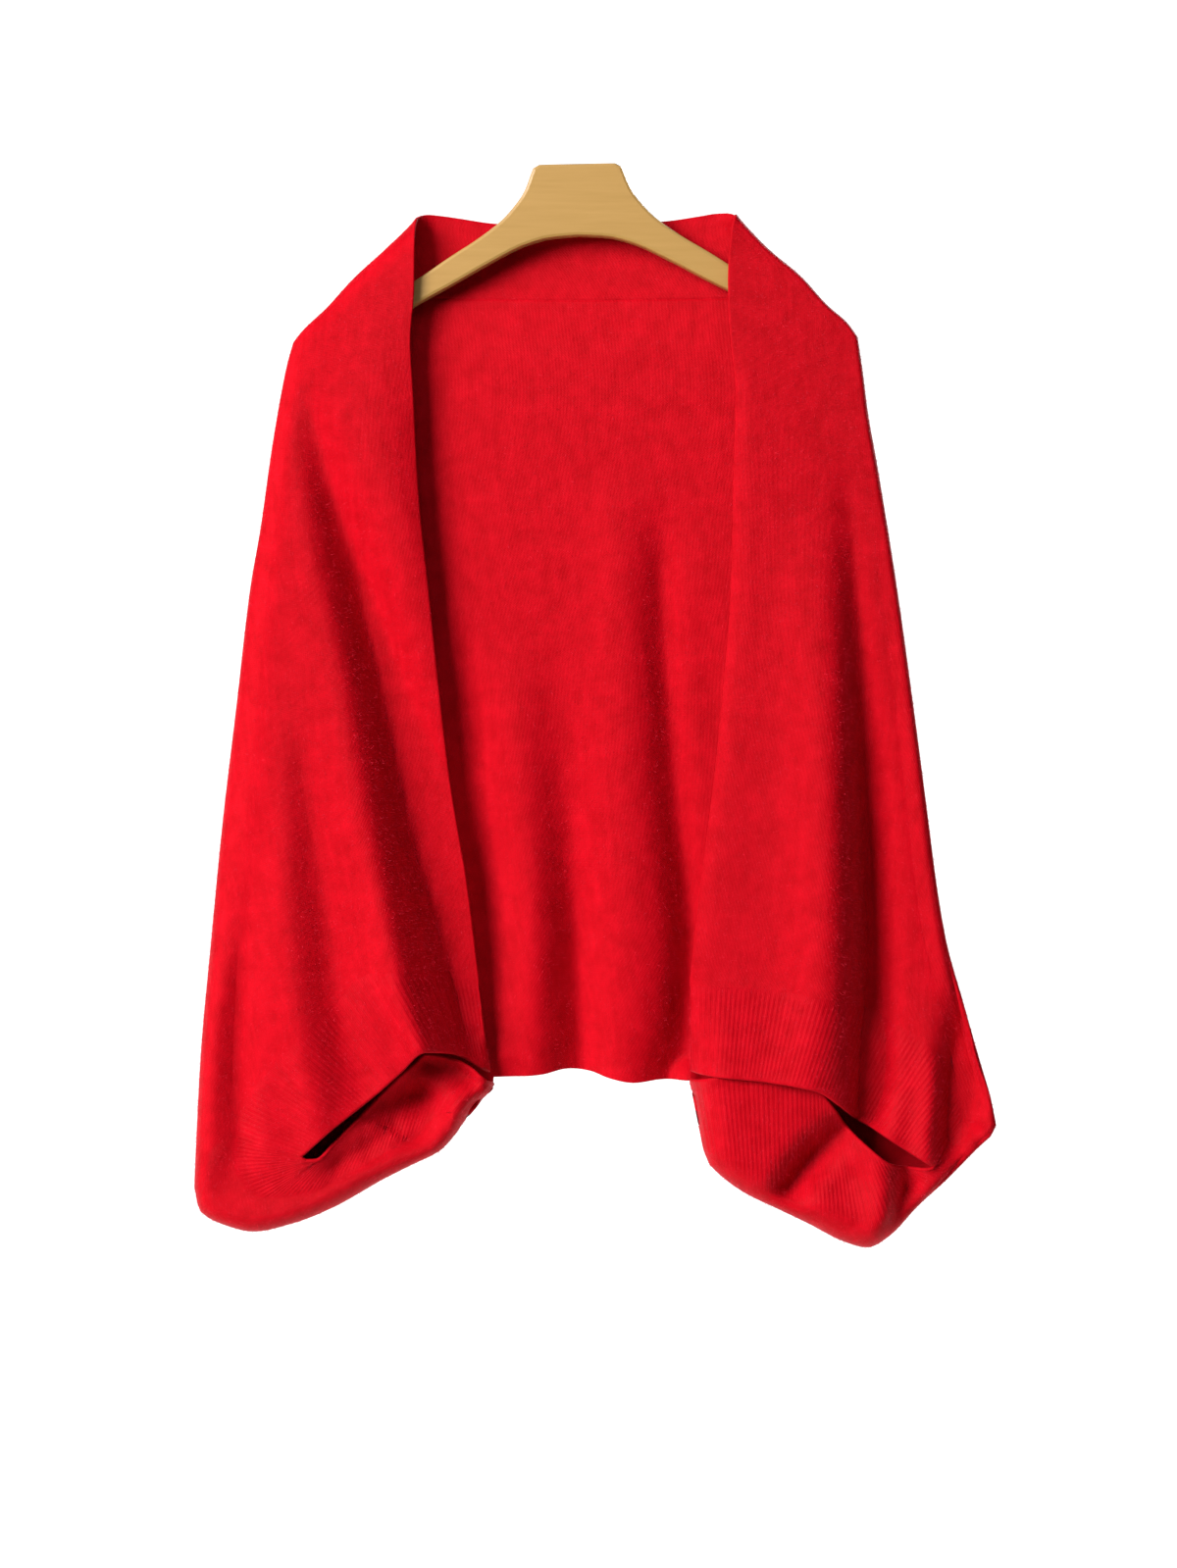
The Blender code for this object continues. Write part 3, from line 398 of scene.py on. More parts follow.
def back_depth(side, x, z):
    """Middle surface of the back, the sleeves' backs and the collar. It is the same on both sides."""
    gap = outline_gap(x, z)
    neck = smooth((z - COLLAR_BOW_FROM) / COLLAR_BOW_OVER) * np.clip(1.0 - (x / COLLAR_HALF_WIDTH) ** 2, 0.0, 1.0)
    line = fold_line(x, z)
    full = depth_column(z, 3) + COLLAR_BOW * neck - line
    depth = line + full * rounded(gap, depth_column(z, 4)) + folds(BACK_PATHS, x, z) * smooth(gap / FOLD_FADE)
    return np.maximum(depth, line)


def outline_way(x, z):
    """For places on the outline, the directions in the (x, z) plane that point out of the garment."""
    way = np.zeros(x.shape + (3,))
    closest = np.full(x.shape, np.inf)
    for side, turn in ((RIGHT_SIDE, -1.0), (LEFT_SIDE, 1.0)):
        line = side.outline
        gap = np.hypot(x[..., None] - line[:, 0], z[..., None] - line[:, 1])
        index = np.clip(gap.argmin(axis=-1), 1, len(line) - 2)
        run = line[index + 1] - line[index - 1]
        run /= np.linalg.norm(run, axis=-1, keepdims=True)
        nearer = gap.min(axis=-1) < closest
        closest = np.minimum(closest, gap.min(axis=-1))
        out = np.stack([-run[..., 1] * turn, np.zeros(x.shape), run[..., 0] * turn], axis=-1)
        way[nearer] = out[nearer]
    return way


class Grid:
    """A grid of places on one middle surface, with its points, outward directions and cloth coordinates."""

    def __init__(self, depth, side, places, facing, cloth=None):
        x, z = places[..., 0], places[..., 1]
        step = SLOPE_STEP
        slope_x = (depth(side, x + step, z) - depth(side, x - step, z)) / (2 * step)
        slope_z = (depth(side, x, z + step) - depth(side, x, z - step)) / (2 * step)
        away = np.stack([slope_x * facing, np.full(x.shape, -facing), slope_z * facing], axis=-1)
        away /= np.linalg.norm(away, axis=-1, keepdims=True)
        on_fold = (outline_gap(x, z) < AT_FOLD) & ((facing > 0) | (hem_end_gap(x, z) > HEM_END_CLEAR))
        if on_fold.any():
            away[on_fold] = outline_way(x[on_fold], z[on_fold])
        self.points = np.stack([x, depth(side, x, z), z], axis=-1)
        self.away = away
        self.cloth = laid_out(self.points) if cloth is None else cloth


def laid_out(points):
    """Cloth coordinates of a grid: the lengths along its rows and columns."""
    across = np.cumsum(np.linalg.norm(np.diff(points, axis=1), axis=-1), axis=1)
    down = np.cumsum(np.linalg.norm(np.diff(points, axis=0), axis=-1), axis=0)
    return np.stack([np.pad(across, ((0, 0), (1, 0))), np.pad(down, ((1, 0), (0, 0)))], axis=-1)


def patch(top, foot, inner, outer, u, v):
    """Places of a four-sided patch: top and foot are functions of u, inner and outer of v."""
    a, b = u[None, :, None], v[:, None, None]
    corners = (1 - b) * ((1 - a) * top(0.0) + a * top(1.0)) + b * ((1 - a) * foot(0.0) + a * foot(1.0))
    return (1 - b) * top(u)[None] + b * foot(u)[None] + (1 - a) * inner(v)[:, None] + a * outer(v)[:, None] - corners


def graded(length, step, first=0.0, last=0.0, count=FOLD_STEPS):
    """Shares of a length in even steps, but finer at an end that has a fold of the given span."""
    quarter = 1.0 - np.cos(np.linspace(0.0, 0.5 * pi, count + 1))
    start = first * quarter if first else np.zeros(1)
    end = length - last * quarter[::-1] if last else np.array([length])
    middle = np.linspace(start[-1], end[0], max(2, int(np.ceil((end[0] - start[-1]) / step)) + 1))
    return np.concatenate([start[:-1], middle, end[1:]]) / length


def join_at(share, first, second):
    """A line made of two: the first up to a share, the second after it."""
    def line(at):
        at = np.asarray(at, float)
        before = first(np.clip(at / share, 0.0, 1.0))
        after = second(np.clip((at - share) / (1.0 - share), 0.0, 1.0))
        return np.where((at <= share)[..., None], before, after)
    return line


def line_of(path, back=False):
    return lambda at: at_shares(path, 1.0 - np.asarray(at) if back else at)


def straight(a, b):
    return lambda at: a + (b - a) * np.asarray(at)[..., None]


def side_grids(side):
    """The front, the sleeve's back and the part that turns under: one cloth, joined round its folds.

    Also the back's row shares, which the back panel and the collar need for the same seams.
    """
    lines = side.lines
    u = graded(SIDE_WIDTH, STEP, first=EDGE_SPAN, last=FOLD_SPAN)
    u = np.unique(np.append(u, RIDGE_SHARE))
    v = np.unique(np.append(graded(SIDE_LENGTH, STEP, first=RIDGE_SPAN), COLLAR_SHARE))
    ridge = line_of(lines["RIDGE"])
    bottom_path = lines["BOTTOM"][::-1]
    bottom = join_at(RIDGE_SHARE, lambda at: at_shares(bottom_path, at * BOTTOM_SHARE),
                     lambda at: at_shares(bottom_path, BOTTOM_SHARE + (1 - BOTTOM_SHARE) * at))
    split = line_of(lines["SPLIT"])
    front = patch(ridge, join_at(RIDGE_SHARE, line_of(lines["RIB_UPPER"]), split), line_of(lines["EDGE"]),
                  line_of(lines["OUTER"]), u, v)
    below = COLLAR_SHARE + (v - COLLAR_SHARE) * (FRONT_END - COLLAR_SHARE) / (1 - COLLAR_SHARE)
    t = np.where(v <= COLLAR_SHARE, v, below)
    tail = FRONT_END + (1 - FRONT_END) * graded(TAIL_LENGTH, STEP, last=FOOT_SPAN)[1:]
    t = np.unique(np.concatenate([t, tail, [SEAM_END]]))
    corner, seam_top = lines["RIDGE"][0], lines["BACK_SEAM"][0]
    seam = join_at((SEAM_END - COLLAR_SHARE) / (1 - COLLAR_SHARE), line_of(lines["BACK_SEAM"]),
                   line_of(lines["INNER_SIDE"], back=True))
    inner = join_at(COLLAR_SHARE, straight(corner, seam_top), seam)
    over = (FRONT_END - COLLAR_SHARE) / (1 - COLLAR_SHARE)

    def outer(at):
        share = np.where(at <= COLLAR_SHARE, at, COLLAR_SHARE + (at - COLLAR_SHARE) / over)
        before = at_shares(lines["OUTER"], np.clip(share, 0.0, 1.0))
        after = at_shares(lines["FOOT"], np.clip((at - FRONT_END) / (1 - FRONT_END), 0.0, 1.0))
        return np.where((at <= FRONT_END + TINY)[..., None], before, after)

    back = patch(ridge, bottom, inner, outer, u, t)
    w = graded(UNDER_LENGTH, STEP, first=FOOT_SPAN)
    rib_low = line_of(lines["RIB_LOWER"], back=True)
    foot = join_at(RIDGE_SHARE, rib_low, split)
    under = patch(bottom, foot, straight(bottom(0.0), foot(0.0)), straight(bottom(1.0), foot(1.0)), u, w)
    grids = [Grid(front_depth, side, front, 1.0), Grid(back_depth, side, back, -1.0),
             Grid(under_depth, side, under, 1.0)]
    shift = grids[0].cloth[-1] - grids[2].cloth[-1]
    shift[u < RIDGE_SHARE] = shift[np.searchsorted(u, RIDGE_SHARE)]
    grids[2].cloth += shift
    return grids, t


def weld(grids):
    """One mesh of all grids: points, outward directions, cloth coordinates and four-sided faces."""
    points = np.concatenate([grid.points.reshape(-1, 3) for grid in grids])
    away = np.concatenate([grid.away.reshape(-1, 3) for grid in grids])
    cloth = np.concatenate([grid.cloth.reshape(-1, 2) for grid in grids])
    faces = []
    start = 0
    for grid in grids:
        rows, columns = grid.points.shape[:2]
        index = start + np.arange(rows * columns).reshape(rows, columns)
        quads = np.stack([index[:-1, :-1], index[:-1, 1:], index[1:, 1:], index[1:, :-1]], axis=-1).reshape(-1, 4)
        normal = np.cross(points[quads[:, 2]] - points[quads[:, 0]], points[quads[:, 3]] - points[quads[:, 1]])
        if (normal * away[quads[:, 0]]).sum() < 0:
            quads = quads[:, ::-1]
        faces.append(quads)
        start += rows * columns
    faces = np.concatenate(faces)
    key = np.round(points / WELD).astype(int)
    _, first, same = np.unique(key, axis=0, return_index=True, return_inverse=True)
    same = same.ravel()
    total = np.zeros((len(first), 3))
    np.add.at(total, same, away)
    total /= np.linalg.norm(total, axis=1, keepdims=True)
    return points[first], total, cloth[first], same[faces]


def trimmed(face):
    """A face without repeated corners, or nothing if fewer than three are left."""
    corners = [c for i, c in enumerate(face) if c != face[i - 1]]
    return corners if len(set(corners)) >= 3 else None


def facing(verts, faces, away, turn):
    """Directions for shading: a relief's own where it has one, and the middle surface's along the rim."""
    quads = np.array([list(f) + [f[-1]] * (4 - len(f)) for f in faces])
    normal = np.cross(verts[quads[:, 2]] - verts[quads[:, 0]], verts[quads[:, 3]] - verts[quads[:, 1]])
    total = np.zeros(verts.shape)
    for column in range(4):
        np.add.at(total, quads[:, column], normal)
    total /= np.maximum(np.linalg.norm(total, axis=1, keepdims=True), TINY)
    edges = np.concatenate([quads[:, [k, (k + 1) % 4]] for k in range(4)])
    edges = edges[edges[:, 0] != edges[:, 1]]
    key = edges.min(axis=1) * len(verts) + edges.max(axis=1)
    values, counts = np.unique(key, return_counts=True)
    lone = values[counts == 1]
    rim = np.unique(np.concatenate([lone // len(verts), lone % len(verts)]))
    total[rim] = away[rim]
    return total * turn


def shell(name, mesh_data, thickness, material, free):
    """A closed shell about a welded middle surface. Its rim is rounded where free says that the edge is free."""
    points, away, cloth, faces = mesh_data
    faces = [f for f in (trimmed(list(face)) for face in faces) if f]
    used = dict.fromkeys(edge for face in faces for edge in zip(face, face[1:] + face[:1]))
    rim = [(a, b) for a, b in used if (b, a) not in used]
    half = 0.5 * thickness if np.ndim(thickness) else np.full(len(points), 0.5 * thickness)
    count = len(points)
    rim_verts = sorted({a for edge in rim for a in edge})
    place = {v: i for i, v in enumerate(rim_verts)}
    out = np.zeros((len(rim_verts), 3))
    for a, b in rim:
        run = points[b] - points[a]
        way = np.cross(run, away[a] + away[b])
        way /= max(np.linalg.norm(way), TINY)
        out[place[a]] += way
        out[place[b]] += way
    out /= np.maximum(np.linalg.norm(out, axis=1, keepdims=True), TINY)
    rim_index = np.array(rim_verts)
    is_free = free(points[rim_index]).astype(float)[:, None]
    verts = [points + away * half[:, None], points - away * half[:, None]]
    normals = [facing(verts[0], faces, away, 1.0), facing(verts[1], faces, away, -1.0)]
    for k in range(1, RIM_STEPS):
        angle = pi * k / RIM_STEPS
        ring = (points[rim_index] + away[rim_index] * half[rim_index, None] * np.cos(angle)
                + out * half[rim_index, None] * np.sin(angle) * is_free)
        verts.append(ring)
        around = away[rim_index] * np.cos(angle) + out * np.sin(angle)
        normals.append(around / np.linalg.norm(around, axis=1, keepdims=True))
    verts = np.concatenate(verts) * MM
    cloth_all = np.concatenate([cloth, cloth] + [cloth[rim_index]] * (RIM_STEPS - 1)) * MM
    polygons = [tuple(f) for f in faces] + [tuple(c + count for c in reversed(f)) for f in faces]
    OUTER_FACES[name] = len(faces)

    def ring_index(v, k):
        if k == 0:
            return v
        return v + count if k == RIM_STEPS else 2 * count + (k - 1) * len(rim_verts) + place[v]

    for a, b in rim:
        for k in range(RIM_STEPS):
            polygons.append((ring_index(b, k), ring_index(a, k), ring_index(a, k + 1), ring_index(b, k + 1)))
    mesh = bpy.data.meshes.new(name)
    mesh.from_pydata(verts.tolist(), [], polygons)
    cloth_all = np.column_stack([cloth_all, np.zeros(len(cloth_all))]).astype(np.float32)
    mesh.attributes.new("cloth", "FLOAT_VECTOR", "POINT").data.foreach_set("vector", cloth_all.ravel())
    mesh.shade_smooth()
    mesh.normals_split_custom_set_from_vertices(np.concatenate(normals).tolist())
    mesh.materials.append(material)
    piece = bpy.data.objects.new(name, mesh)
    bpy.context.scene.collection.objects.link(piece)
    return piece


def near_line(path, reach=FREE_REACH):
    return lambda points: nearest(path, points[:, 0], points[:, 2])[0] < reach


def make_side(side, material):
    grids, t = side_grids(side)
    opening = near_line(side.lines["EDGE"])
    piece = shell(side.name + "_front_and_sleeve", weld(grids), CLOTH, material, opening)
    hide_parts(side.name + "_front", side.name + "_sleeve_back", side.name + "_sleeve_under")
    return piece, t


def welted(points):
    """Thickness of the knit beside the neck seam: two soft welts with the seam's groove between them."""
    gap = nearest(curve(NECK_SEAM), points[:, 0], points[:, 2])[0]
    welts = WELT * (gap / WELT_REACH) * np.exp(1.0 - gap / WELT_REACH)
    return CLOTH + welts - GROOVE * np.exp(-(gap / GROOVE_REACH) ** 2)


def make_back_panel(t, material):
    shares = (t[(t >= COLLAR_SHARE - TINY) & (t <= SEAM_END + TINY)] - COLLAR_SHARE) / (SEAM_END - COLLAR_SHARE)
    shares = np.unique(np.append(shares, np.array(WELT_ROWS) / BACK_LENGTH))
    u = graded(BACK_WIDTH, STEP)
    places = patch(line_of(curve(NECK_SEAM)), line_of(curve(HEM)), line_of(RIGHT_SIDE.lines["BACK_SEAM"]),
                   line_of(LEFT_SIDE.lines["BACK_SEAM"]), u, np.clip(shares, 0.0, 1.0))
    mesh_data = weld([Grid(back_depth, None, places, -1.0)])
    piece = shell("back_panel_knit", mesh_data, welted(mesh_data[0]), material, near_line(curve(HEM)))
    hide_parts("back_panel")
    return piece


def make_collar(t, material):
    shares = t[t <= COLLAR_SHARE + TINY] / COLLAR_SHARE
    shares = np.unique(np.append(shares, 1.0 - np.array(WELT_ROWS) / COLLAR_HEIGHT))
    u = graded(BACK_WIDTH, STEP)
    top, foot = line_of(curve(COLLAR_TOP)), line_of(curve(NECK_SEAM))
    places = patch(top, foot, straight(top(0.0), foot(0.0)), straight(top(1.0), foot(1.0)), u,
                   np.clip(shares, 0.0, 1.0))
    mesh_data = weld([Grid(back_depth, None, places, -1.0)])
    piece = shell("collar_band", mesh_data, welted(mesh_data[0]), material, near_line(curve(COLLAR_TOP)))
    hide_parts("collar")
    return piece


def crowded(shares):
    """Shares of the lower lip for the ribs' ends, which crowd at the mouth's corner, where the ribs fan out."""
    bend = 1.0 / (LIP_TURN * (2.0 - LIP_TURN))
    return np.where(shares < LIP_TURN, bend * shares**2, 1.0 - 2.0 * bend * LIP_TURN * (1.0 - shares))


def make_cuff(side, material):
    """The rib round the mouth. Its ridges run from the lip to the rib's line."""
    lines = side.lines
    length = np.hypot(*np.diff(at_shares(lines["UPPER_LIP"], np.linspace(0, 1, 50)), axis=0).T).sum()
    ribs = int(round(length / RIB_WALE))
    share = np.linspace(0.0, 1.0, ribs * RIB_SAMPLES + 1)
    d = np.linspace(0.0, 1.0, RIB_ROWS + 1)[:, None, None]

    def between(lip, shares, line):
        return at_shares(lines[lip], shares)[None] * (1 - d) + at_shares(lines[line], share)[None] * d

    upper = between("UPPER_LIP", share, "RIB_UPPER")
    lower = between("LOWER_LIP", crowded(share), "RIB_LOWER")
    upper_cloth = np.stack(np.broadcast_arrays(share[None] * ribs * RIB_WALE, d[..., 0] * RIB_DEPTH), axis=-1)
    grids = [Grid(front_depth, side, upper, 1.0, upper_cloth), Grid(under_depth, side, lower, 1.0, -upper_cloth)]
    points, away, cloth, faces = weld(grids)
    down = np.abs(cloth[:, 1]) / RIB_DEPTH
    wave = 0.5 + 0.5 * np.cos(2 * pi * cloth[:, 0] / RIB_WALE)
    ease = smooth(down / RIB_STARTS) * smooth((1.0 - down) / RIB_ENDS)
    ridges = 2 * RIB_HEIGHT * (wave ** RIB_SHARPNESS - 0.5) * ease
    thinner = (CLOTH - RIB) * smooth((down - (1.0 - RIB_ENDS)) / RIB_ENDS)
    thickness = RIB + ridges + thinner + LIP_BEAD * np.exp(-(down * RIB_DEPTH / LIP_BEAD_REACH) ** 2)
    lips = near_line(np.vstack([lines["UPPER_LIP"], lines["LOWER_LIP"]]), LIP_REACH)
    piece = shell(side.name + "_cuff_rib", (points, away, cloth, faces), thickness, material, lips)
    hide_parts(side.name + "_cuff_upper", side.name + "_cuff_lower")
    return piece


def make_nap(piece, count, seed, both_faces, material):
    """The nap: loose fibres that stand off the cloth, each one thin triangle, on the outer face or on both."""
    mesh = piece.data
    mesh.calc_loop_triangles()
    corners = np.empty(3 * len(mesh.loop_triangles), int)
    mesh.loop_triangles.foreach_get("vertices", corners)
    owner = np.empty(len(mesh.loop_triangles), int)
    mesh.loop_triangles.foreach_get("polygon_index", owner)
    places = np.empty(3 * len(mesh.vertices))
    mesh.vertices.foreach_get("co", places)
    a, b, c = places.reshape(-1, 3)[corners.reshape(-1, 3)].transpose(1, 0, 2)
    normal = np.cross(b - a, c - a)
    area = np.linalg.norm(normal, axis=1)
    normal /= np.maximum(area, 1e-15)[:, None]
    if not both_faces:
        area = np.where(owner < OUTER_FACES[piece.name], area, 0.0)
    random = np.random.default_rng(seed)
    pick = random.choice(len(area), count, p=area / area.sum())
    r, s = np.sqrt(random.random(count))[:, None], random.random(count)[:, None]
    root = (1 - r) * a[pick] + r * (1 - s) * b[pick] + r * s * c[pick]
    way = normal[pick] * NAP_LIFT + random.normal(size=(count, 3)) * NAP_SPREAD + np.array([0.0, 0.0, -NAP_DROOP])
    way /= np.linalg.norm(way, axis=1, keepdims=True)
    low, high = NAP_LENGTH
    length = (low + (high - low) * random.random(count)[:, None] ** 2) * MM
    across = np.cross(way, random.normal(size=(count, 3)))
    across *= 0.5 * NAP_WIDTH * MM / np.linalg.norm(across, axis=1, keepdims=True)
    verts = np.stack([root - across, root + across, root + way * length], axis=1).reshape(-1, 3)
    nap = bpy.data.meshes.new(piece.name + "_nap")
    nap.from_pydata(verts, [], np.arange(3 * count).reshape(-1, 3))
    nap.materials.append(material)
    fluff = bpy.data.objects.new(piece.name + "_nap", nap)
    bpy.context.scene.collection.objects.link(fluff)
    return fluff


def new_material(name):
    """A new material, its node tree and its shader."""
    material = bpy.data.materials.new(name)
    material.use_nodes = True
    return material, material.node_tree, material.node_tree.nodes["Principled BSDF"]


def node_of(tree, kind, x, y, **values):
    """A new node at a place in the tree, with values for its inputs or its own settings."""
    node = tree.nodes.new(kind)
    node.location = (x, y)
    for key, value in values.items():
        if key in node.inputs:
            node.inputs[key].default_value = value
        else:
            setattr(node, key, value)
    return node


def ramp_of(tree, x, y, low, high, dark, light):
    """A colour ramp from dark at low to light at high."""
    ramp = node_of(tree, "ShaderNodeValToRGB", x, y)
    for element, position, colour in zip(ramp.color_ramp.elements, (low, high), (dark, light)):
        element.position = position
        element.color = colour
    return ramp


def maths(tree, operation, a, b=None):
    """The result of a calculation with numbers or other nodes' results."""
    node = tree.nodes.new("ShaderNodeMath")
    node.operation = operation
    for socket, value in zip(node.inputs, (a, b)):
        if value is None:
            continue
        if isinstance(value, (int, float)):
            socket.default_value = value
        else:
            tree.links.new(value, socket)
    return node.outputs[0]


def knit_material(name, dark, light, stitch):
    """Brushed knit: stocking stitch as a faint relief under a soft nap, in a slightly mottled red, with painted shade
    in the stitches' furrows.
    """
    material, tree, shader = new_material(name)
    cloth = node_of(tree, "ShaderNodeAttribute", -1400, 200, attribute_name="cloth")
    split = node_of(tree, "ShaderNodeSeparateXYZ", -1200, 200)
    tree.links.new(cloth.outputs["Vector"], split.inputs[0])
    place = node_of(tree, "ShaderNodeTexCoord", -1400, -200)
    across = maths(tree, "FRACT", maths(tree, "DIVIDE", split.outputs[0], STITCH_WIDTH))
    leg = maths(tree, "ABSOLUTE", maths(tree, "SUBTRACT", across, 0.5))
    row = maths(tree, "DIVIDE", split.outputs[1], STITCH_HEIGHT)
    row = maths(tree, "ADD", row, maths(tree, "MULTIPLY", leg, STITCH_SLANT))
    loop = maths(tree, "SINE", maths(tree, "MULTIPLY", row, 2 * pi))
    furrow = maths(tree, "COSINE", maths(tree, "MULTIPLY", leg, 4 * pi))
    relief = maths(tree, "ADD", maths(tree, "MULTIPLY", loop, 0.35), maths(tree, "MULTIPLY", furrow, -0.5))
    nap = node_of(tree, "ShaderNodeTexNoise", -1000, -200, Scale=900.0, Detail=5.0, Roughness=0.65)
    tree.links.new(place.outputs["Object"], nap.inputs["Vector"])
    mottle = node_of(tree, "ShaderNodeTexNoise", -1000, -450, Scale=70.0, Detail=4.0, Roughness=0.6)
    tree.links.new(place.outputs["Object"], mottle.inputs["Vector"])
    height = maths(tree, "ADD", maths(tree, "MULTIPLY", relief, stitch), nap.outputs["Fac"])
    bump = node_of(tree, "ShaderNodeBump", -300, -300, Strength=0.42, Distance=0.0006)
    tree.links.new(height, bump.inputs["Height"])
    ripple = node_of(tree, "ShaderNodeBump", -500, -500, Strength=0.6, Distance=0.0012)
    tree.links.new(mottle.outputs["Fac"], ripple.inputs["Height"])
    tree.links.new(ripple.outputs[0], bump.inputs["Normal"])
    tree.links.new(bump.outputs[0], shader.inputs["Normal"])
    stretch = node_of(tree, "ShaderNodeMapping", -1200, -700)
    stretch.inputs["Scale"].default_value = (200.0, 20.0, 1.0)
    tree.links.new(cloth.outputs["Vector"], stretch.inputs["Vector"])
    streak = node_of(tree, "ShaderNodeTexNoise", -1000, -700, Scale=1.0, Detail=2.0, Roughness=0.5)
    tree.links.new(stretch.outputs[0], streak.inputs["Vector"])
    tone = maths(tree, "ADD", maths(tree, "MULTIPLY", mottle.outputs["Fac"], 0.5),
                 maths(tree, "MULTIPLY", nap.outputs["Fac"], 0.2))
    streaks = maths(tree, "MULTIPLY", maths(tree, "SUBTRACT", streak.outputs["Fac"], 0.2), 0.22)
    tone = maths(tree, "ADD", tone, streaks)
    # Painted shade: the colour is a little darker in the furrows between the stitches' legs, where the relief is
    # lowest, and lighter on the legs.
    tone = maths(tree, "ADD", tone, maths(tree, "MULTIPLY", maths(tree, "SUBTRACT", 1.0, furrow), 0.07))
    ramp = ramp_of(tree, -500, 200, 0.32, 0.68, dark, light)
    tree.links.new(tone, ramp.inputs[0])
    tree.links.new(ramp.outputs[0], shader.inputs["Base Color"])
    shader.inputs["Roughness"].default_value = 0.5
    shader.inputs["Specular IOR Level"].default_value = 0.03
    shader.inputs["Sheen Weight"].default_value = 0.05
    shader.inputs["Sheen Roughness"].default_value = 0.3
    shader.inputs["Sheen Tint"].default_value = (1.0, 0.25, 0.32, 1.0)
    return material


def wood_material():
    """Light varnished wood with a faint grain along the hanger."""
    material, tree, shader = new_material("light_wood")
    place = node_of(tree, "ShaderNodeTexCoord", -1200, 0)
    stretch = node_of(tree, "ShaderNodeMapping", -1000, 0)
    stretch.inputs["Scale"].default_value = (5.0, 60.0, 90.0)
    tree.links.new(place.outputs["Object"], stretch.inputs["Vector"])
    grain = node_of(tree, "ShaderNodeTexNoise", -800, 0, Scale=3.0, Detail=6.0, Roughness=0.6)
    tree.links.new(stretch.outputs[0], grain.inputs["Vector"])
    ramp = ramp_of(tree, -500, 100, 0.3, 0.72, (0.375, 0.210, 0.052, 1), (0.42, 0.240, 0.066, 1))
    tree.links.new(grain.outputs["Fac"], ramp.inputs[0])
    tree.links.new(ramp.outputs[0], shader.inputs["Base Color"])
    bump = node_of(tree, "ShaderNodeBump", -300, -200, Strength=0.15, Distance=0.0003)
    tree.links.new(grain.outputs["Fac"], bump.inputs["Height"])
    tree.links.new(bump.outputs[0], shader.inputs["Normal"])
    shader.inputs["Roughness"].default_value = 0.42
    return material


def fluff_material():
    """The nap's fibres: a paler red than the cloth that varies from tuft to tuft."""
    material, tree, shader = new_material("red_fluff")
    place = node_of(tree, "ShaderNodeTexCoord", -1000, 0)
    tuft = node_of(tree, "ShaderNodeTexNoise", -800, 0, Scale=250.0, Detail=2.0, Roughness=0.5)
    tree.links.new(place.outputs["Object"], tuft.inputs["Vector"])
    ramp = ramp_of(tree, -500, 0, 0.35, 0.65, (0.70, 0.022, 0.048, 1), (0.82, 0.038, 0.072, 1))
    tree.links.new(tuft.outputs["Fac"], ramp.inputs[0])
    tree.links.new(ramp.outputs[0], shader.inputs["Base Color"])
    shader.inputs["Roughness"].default_value = 0.8
    shader.inputs["Specular IOR Level"].default_value = 0.0
    return material


def stage_material():
    """A matte white that gives some light of its own, so that it stays white beside the garment's weak lights."""
    material, _, shader = new_material("pale_floor")
    shader.inputs["Base Color"].default_value = (0.3, 0.3, 0.3, 1)
    shader.inputs["Roughness"].default_value = 0.9
    shader.inputs["Emission Color"].default_value = (1, 1, 1, 1)
    shader.inputs["Emission Strength"].default_value = 1.0
    return material


# Camera: straight in front, level with the garment's middle
PIXEL = 0.78 * MM                        # one photo pixel at the garment
PHOTO_SIZE = (1200, 1599)
HANGER_TOP_PIXEL = (588.5, 168.0)
CAMERA_DISTANCE = 2.5

# Lights and stage, in metres
GARMENT_MIDDLE = (0.0, 0.0, -0.45)
FLOOR_Z = -1.25
WALL_Y = 3.3
WALL_TOP = 2.6
STAGE_FRONT = -0.5
STAGE_HALF_WIDTH = 3.0
STAGE_RADIUS = 0.8
STAGE_STEPS = 12


def make_camera():
    data = bpy.data.cameras.new("camera")
    camera = bpy.data.objects.new("camera", data)
    bpy.context.scene.collection.objects.link(camera)
    x = (0.5 * PHOTO_SIZE[0] - HANGER_TOP_PIXEL[0]) * PIXEL
    z = -(0.5 * PHOTO_SIZE[1] - HANGER_TOP_PIXEL[1]) * PIXEL
    camera.location = (x, -CAMERA_DISTANCE, z)
    camera.rotation_euler = (radians(90), 0, 0)
    data.sensor_fit = "VERTICAL"
    data.angle_y = 2 * atan(0.5 * PHOTO_SIZE[1] * PIXEL / CAMERA_DISTANCE)
    data.clip_end = 50.0
    bpy.context.scene.camera = camera


def area_light(name, place, size, power, spread=180):
    """A square area light that faces the garment's middle."""
    data = bpy.data.lights.new(name, "AREA")
    data.shape = "SQUARE"
    data.size = size
    data.energy = power
    data.spread = radians(spread)
    light = bpy.data.objects.new(name, data)
    bpy.context.scene.collection.objects.link(light)
    light.location = place
    light.rotation_euler = (Vector(GARMENT_MIDDLE) - Vector(place)).to_track_quat("-Z", "Y").to_euler()


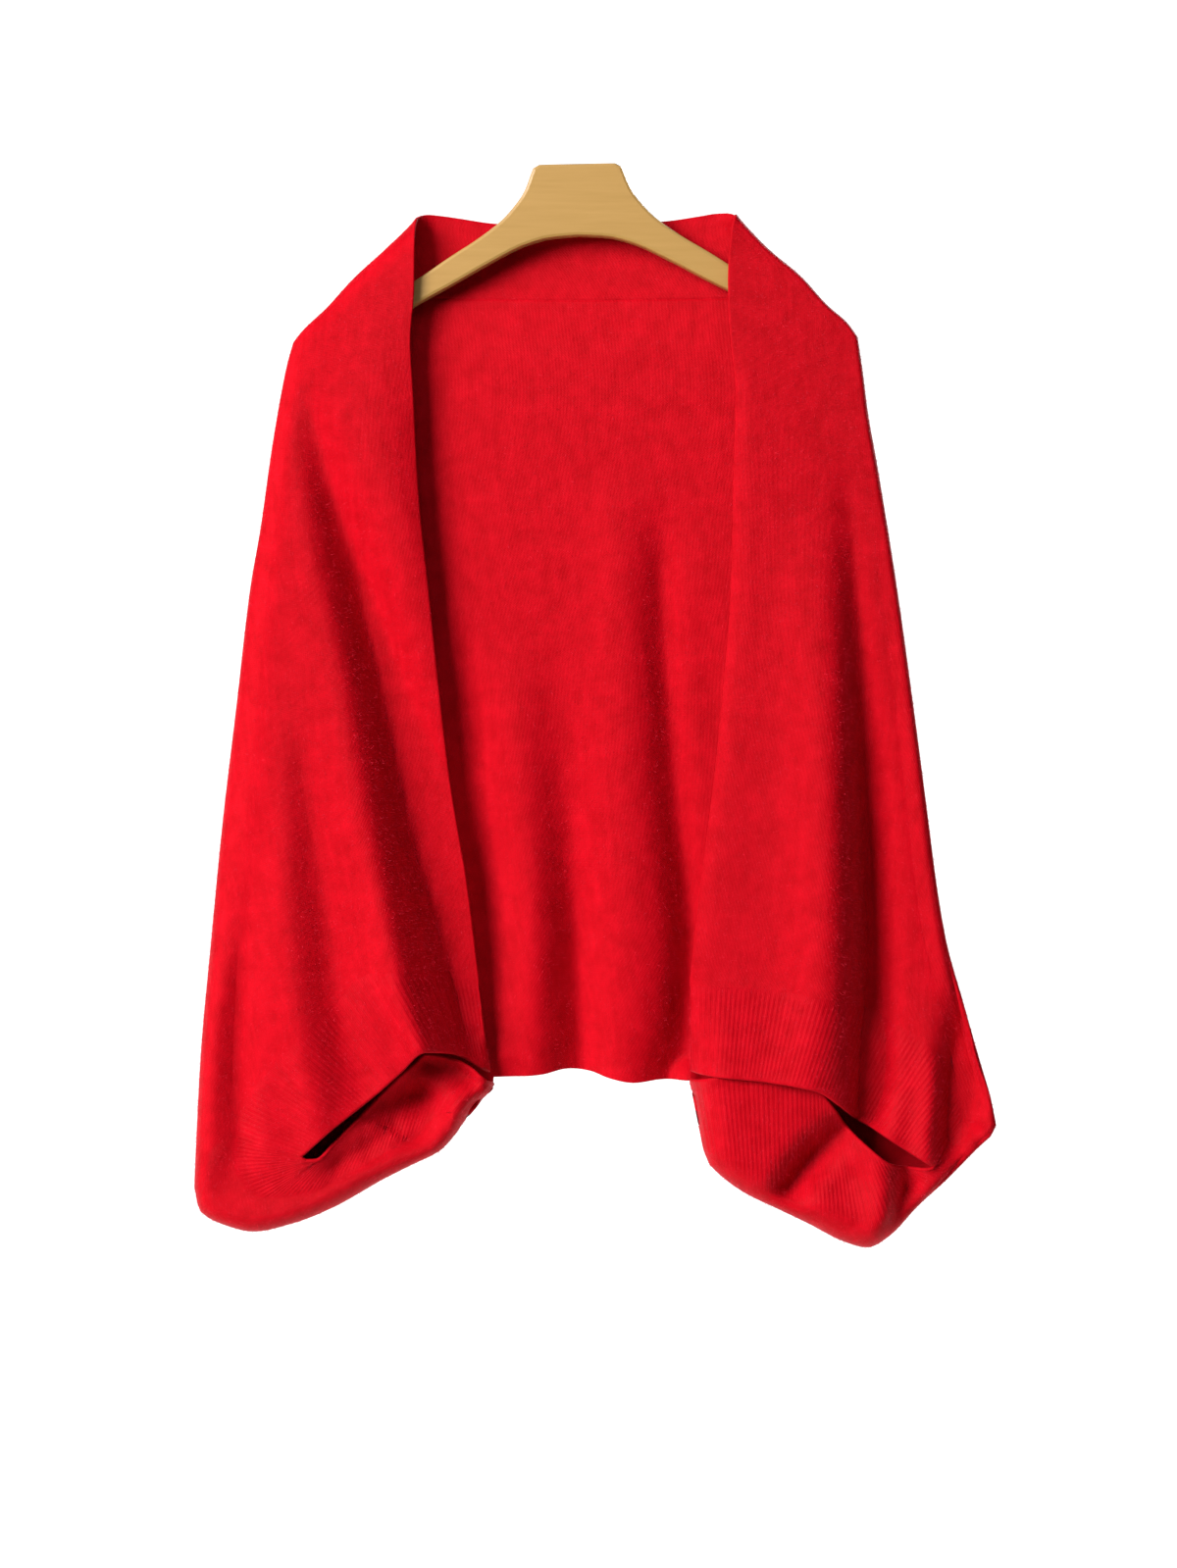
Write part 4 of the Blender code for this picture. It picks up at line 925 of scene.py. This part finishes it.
def make_stage():
    """A pale floor that curves up into a pale wall behind."""
    line = [(STAGE_FRONT, FLOOR_Z)]
    for k in range(STAGE_STEPS + 1):
        angle = 0.5 * pi * k / STAGE_STEPS
        line.append((WALL_Y - STAGE_RADIUS + STAGE_RADIUS * np.sin(angle),
                     FLOOR_Z + STAGE_RADIUS - STAGE_RADIUS * np.cos(angle)))
    line.append((WALL_Y, WALL_TOP))
    mesh = bpy.data.meshes.new("floor")
    verts = [(x, y, z) for y, z in line for x in (-STAGE_HALF_WIDTH, STAGE_HALF_WIDTH)]
    mesh.from_pydata(verts, [], [(2 * i, 2 * i + 1, 2 * i + 3, 2 * i + 2) for i in range(len(line) - 1)])
    mesh.shade_smooth()
    mesh.materials.append(stage_material())
    floor = bpy.data.objects.new("floor", mesh)
    bpy.context.scene.collection.objects.link(floor)


def make_light():
    """A key from the viewer's left, a little above, a weak fill and a weak light from behind."""
    area_light("key", (-2.6, -2.7, 0.8), 2.0, 296)
    area_light("fill", (0.3, -2.2, 2.0), 2.0, 22)
    area_light("rim", (2.1, 2.5, 1.3), 1.2, 10, 60)
    world = bpy.data.worlds.new("studio")
    world.use_nodes = True
    world.node_tree.nodes["Background"].inputs["Color"].default_value = (1, 1, 1, 1)
    world.node_tree.nodes["Background"].inputs["Strength"].default_value = 0.06
    bpy.context.scene.world = world
    bpy.context.scene.view_settings.view_transform = "Standard"


def main():
    make_camera()
    make_stage()
    make_light()
    knit = knit_material("red_brushed_knit", (0.39, 0.001, 0.005, 1), (0.60, 0.003, 0.012, 1), 0.8)
    rib = knit_material("red_rib", (0.37, 0.001, 0.005, 1), (0.57, 0.003, 0.012, 1), 0.3)
    fluff = fluff_material()
    wood = wood_material()
    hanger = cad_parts["hanger"]
    hanger.data.materials.clear()
    hanger.data.materials.append(wood)
    cloths = []         # each piece, its cut, what holds it, and whether both its faces show their nap
    sides = []
    for side in (RIGHT_SIDE, LEFT_SIDE):
        piece, t = make_side(side, knit)
        sides.append(piece)
        cloths.append((piece, SIDE_CUT, ["hanger"], False))
        cloths.append((make_cuff(side, rib), CUFF_CUT, [piece], False))
    cloths.append((make_back_panel(t, knit), BACK_CUT, sides, True))
    cloths.append((make_collar(t, knit), COLLAR_CUT, sides, True))
    for seed, (piece, cut, held_by, both) in enumerate(cloths):
        area = sum(face.area for face in piece.data.polygons) / 2
        nap = make_nap(piece, int(area * NAP_DENSITY), seed, both, fluff)
        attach(piece, "root")
        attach(nap, "root")


main()
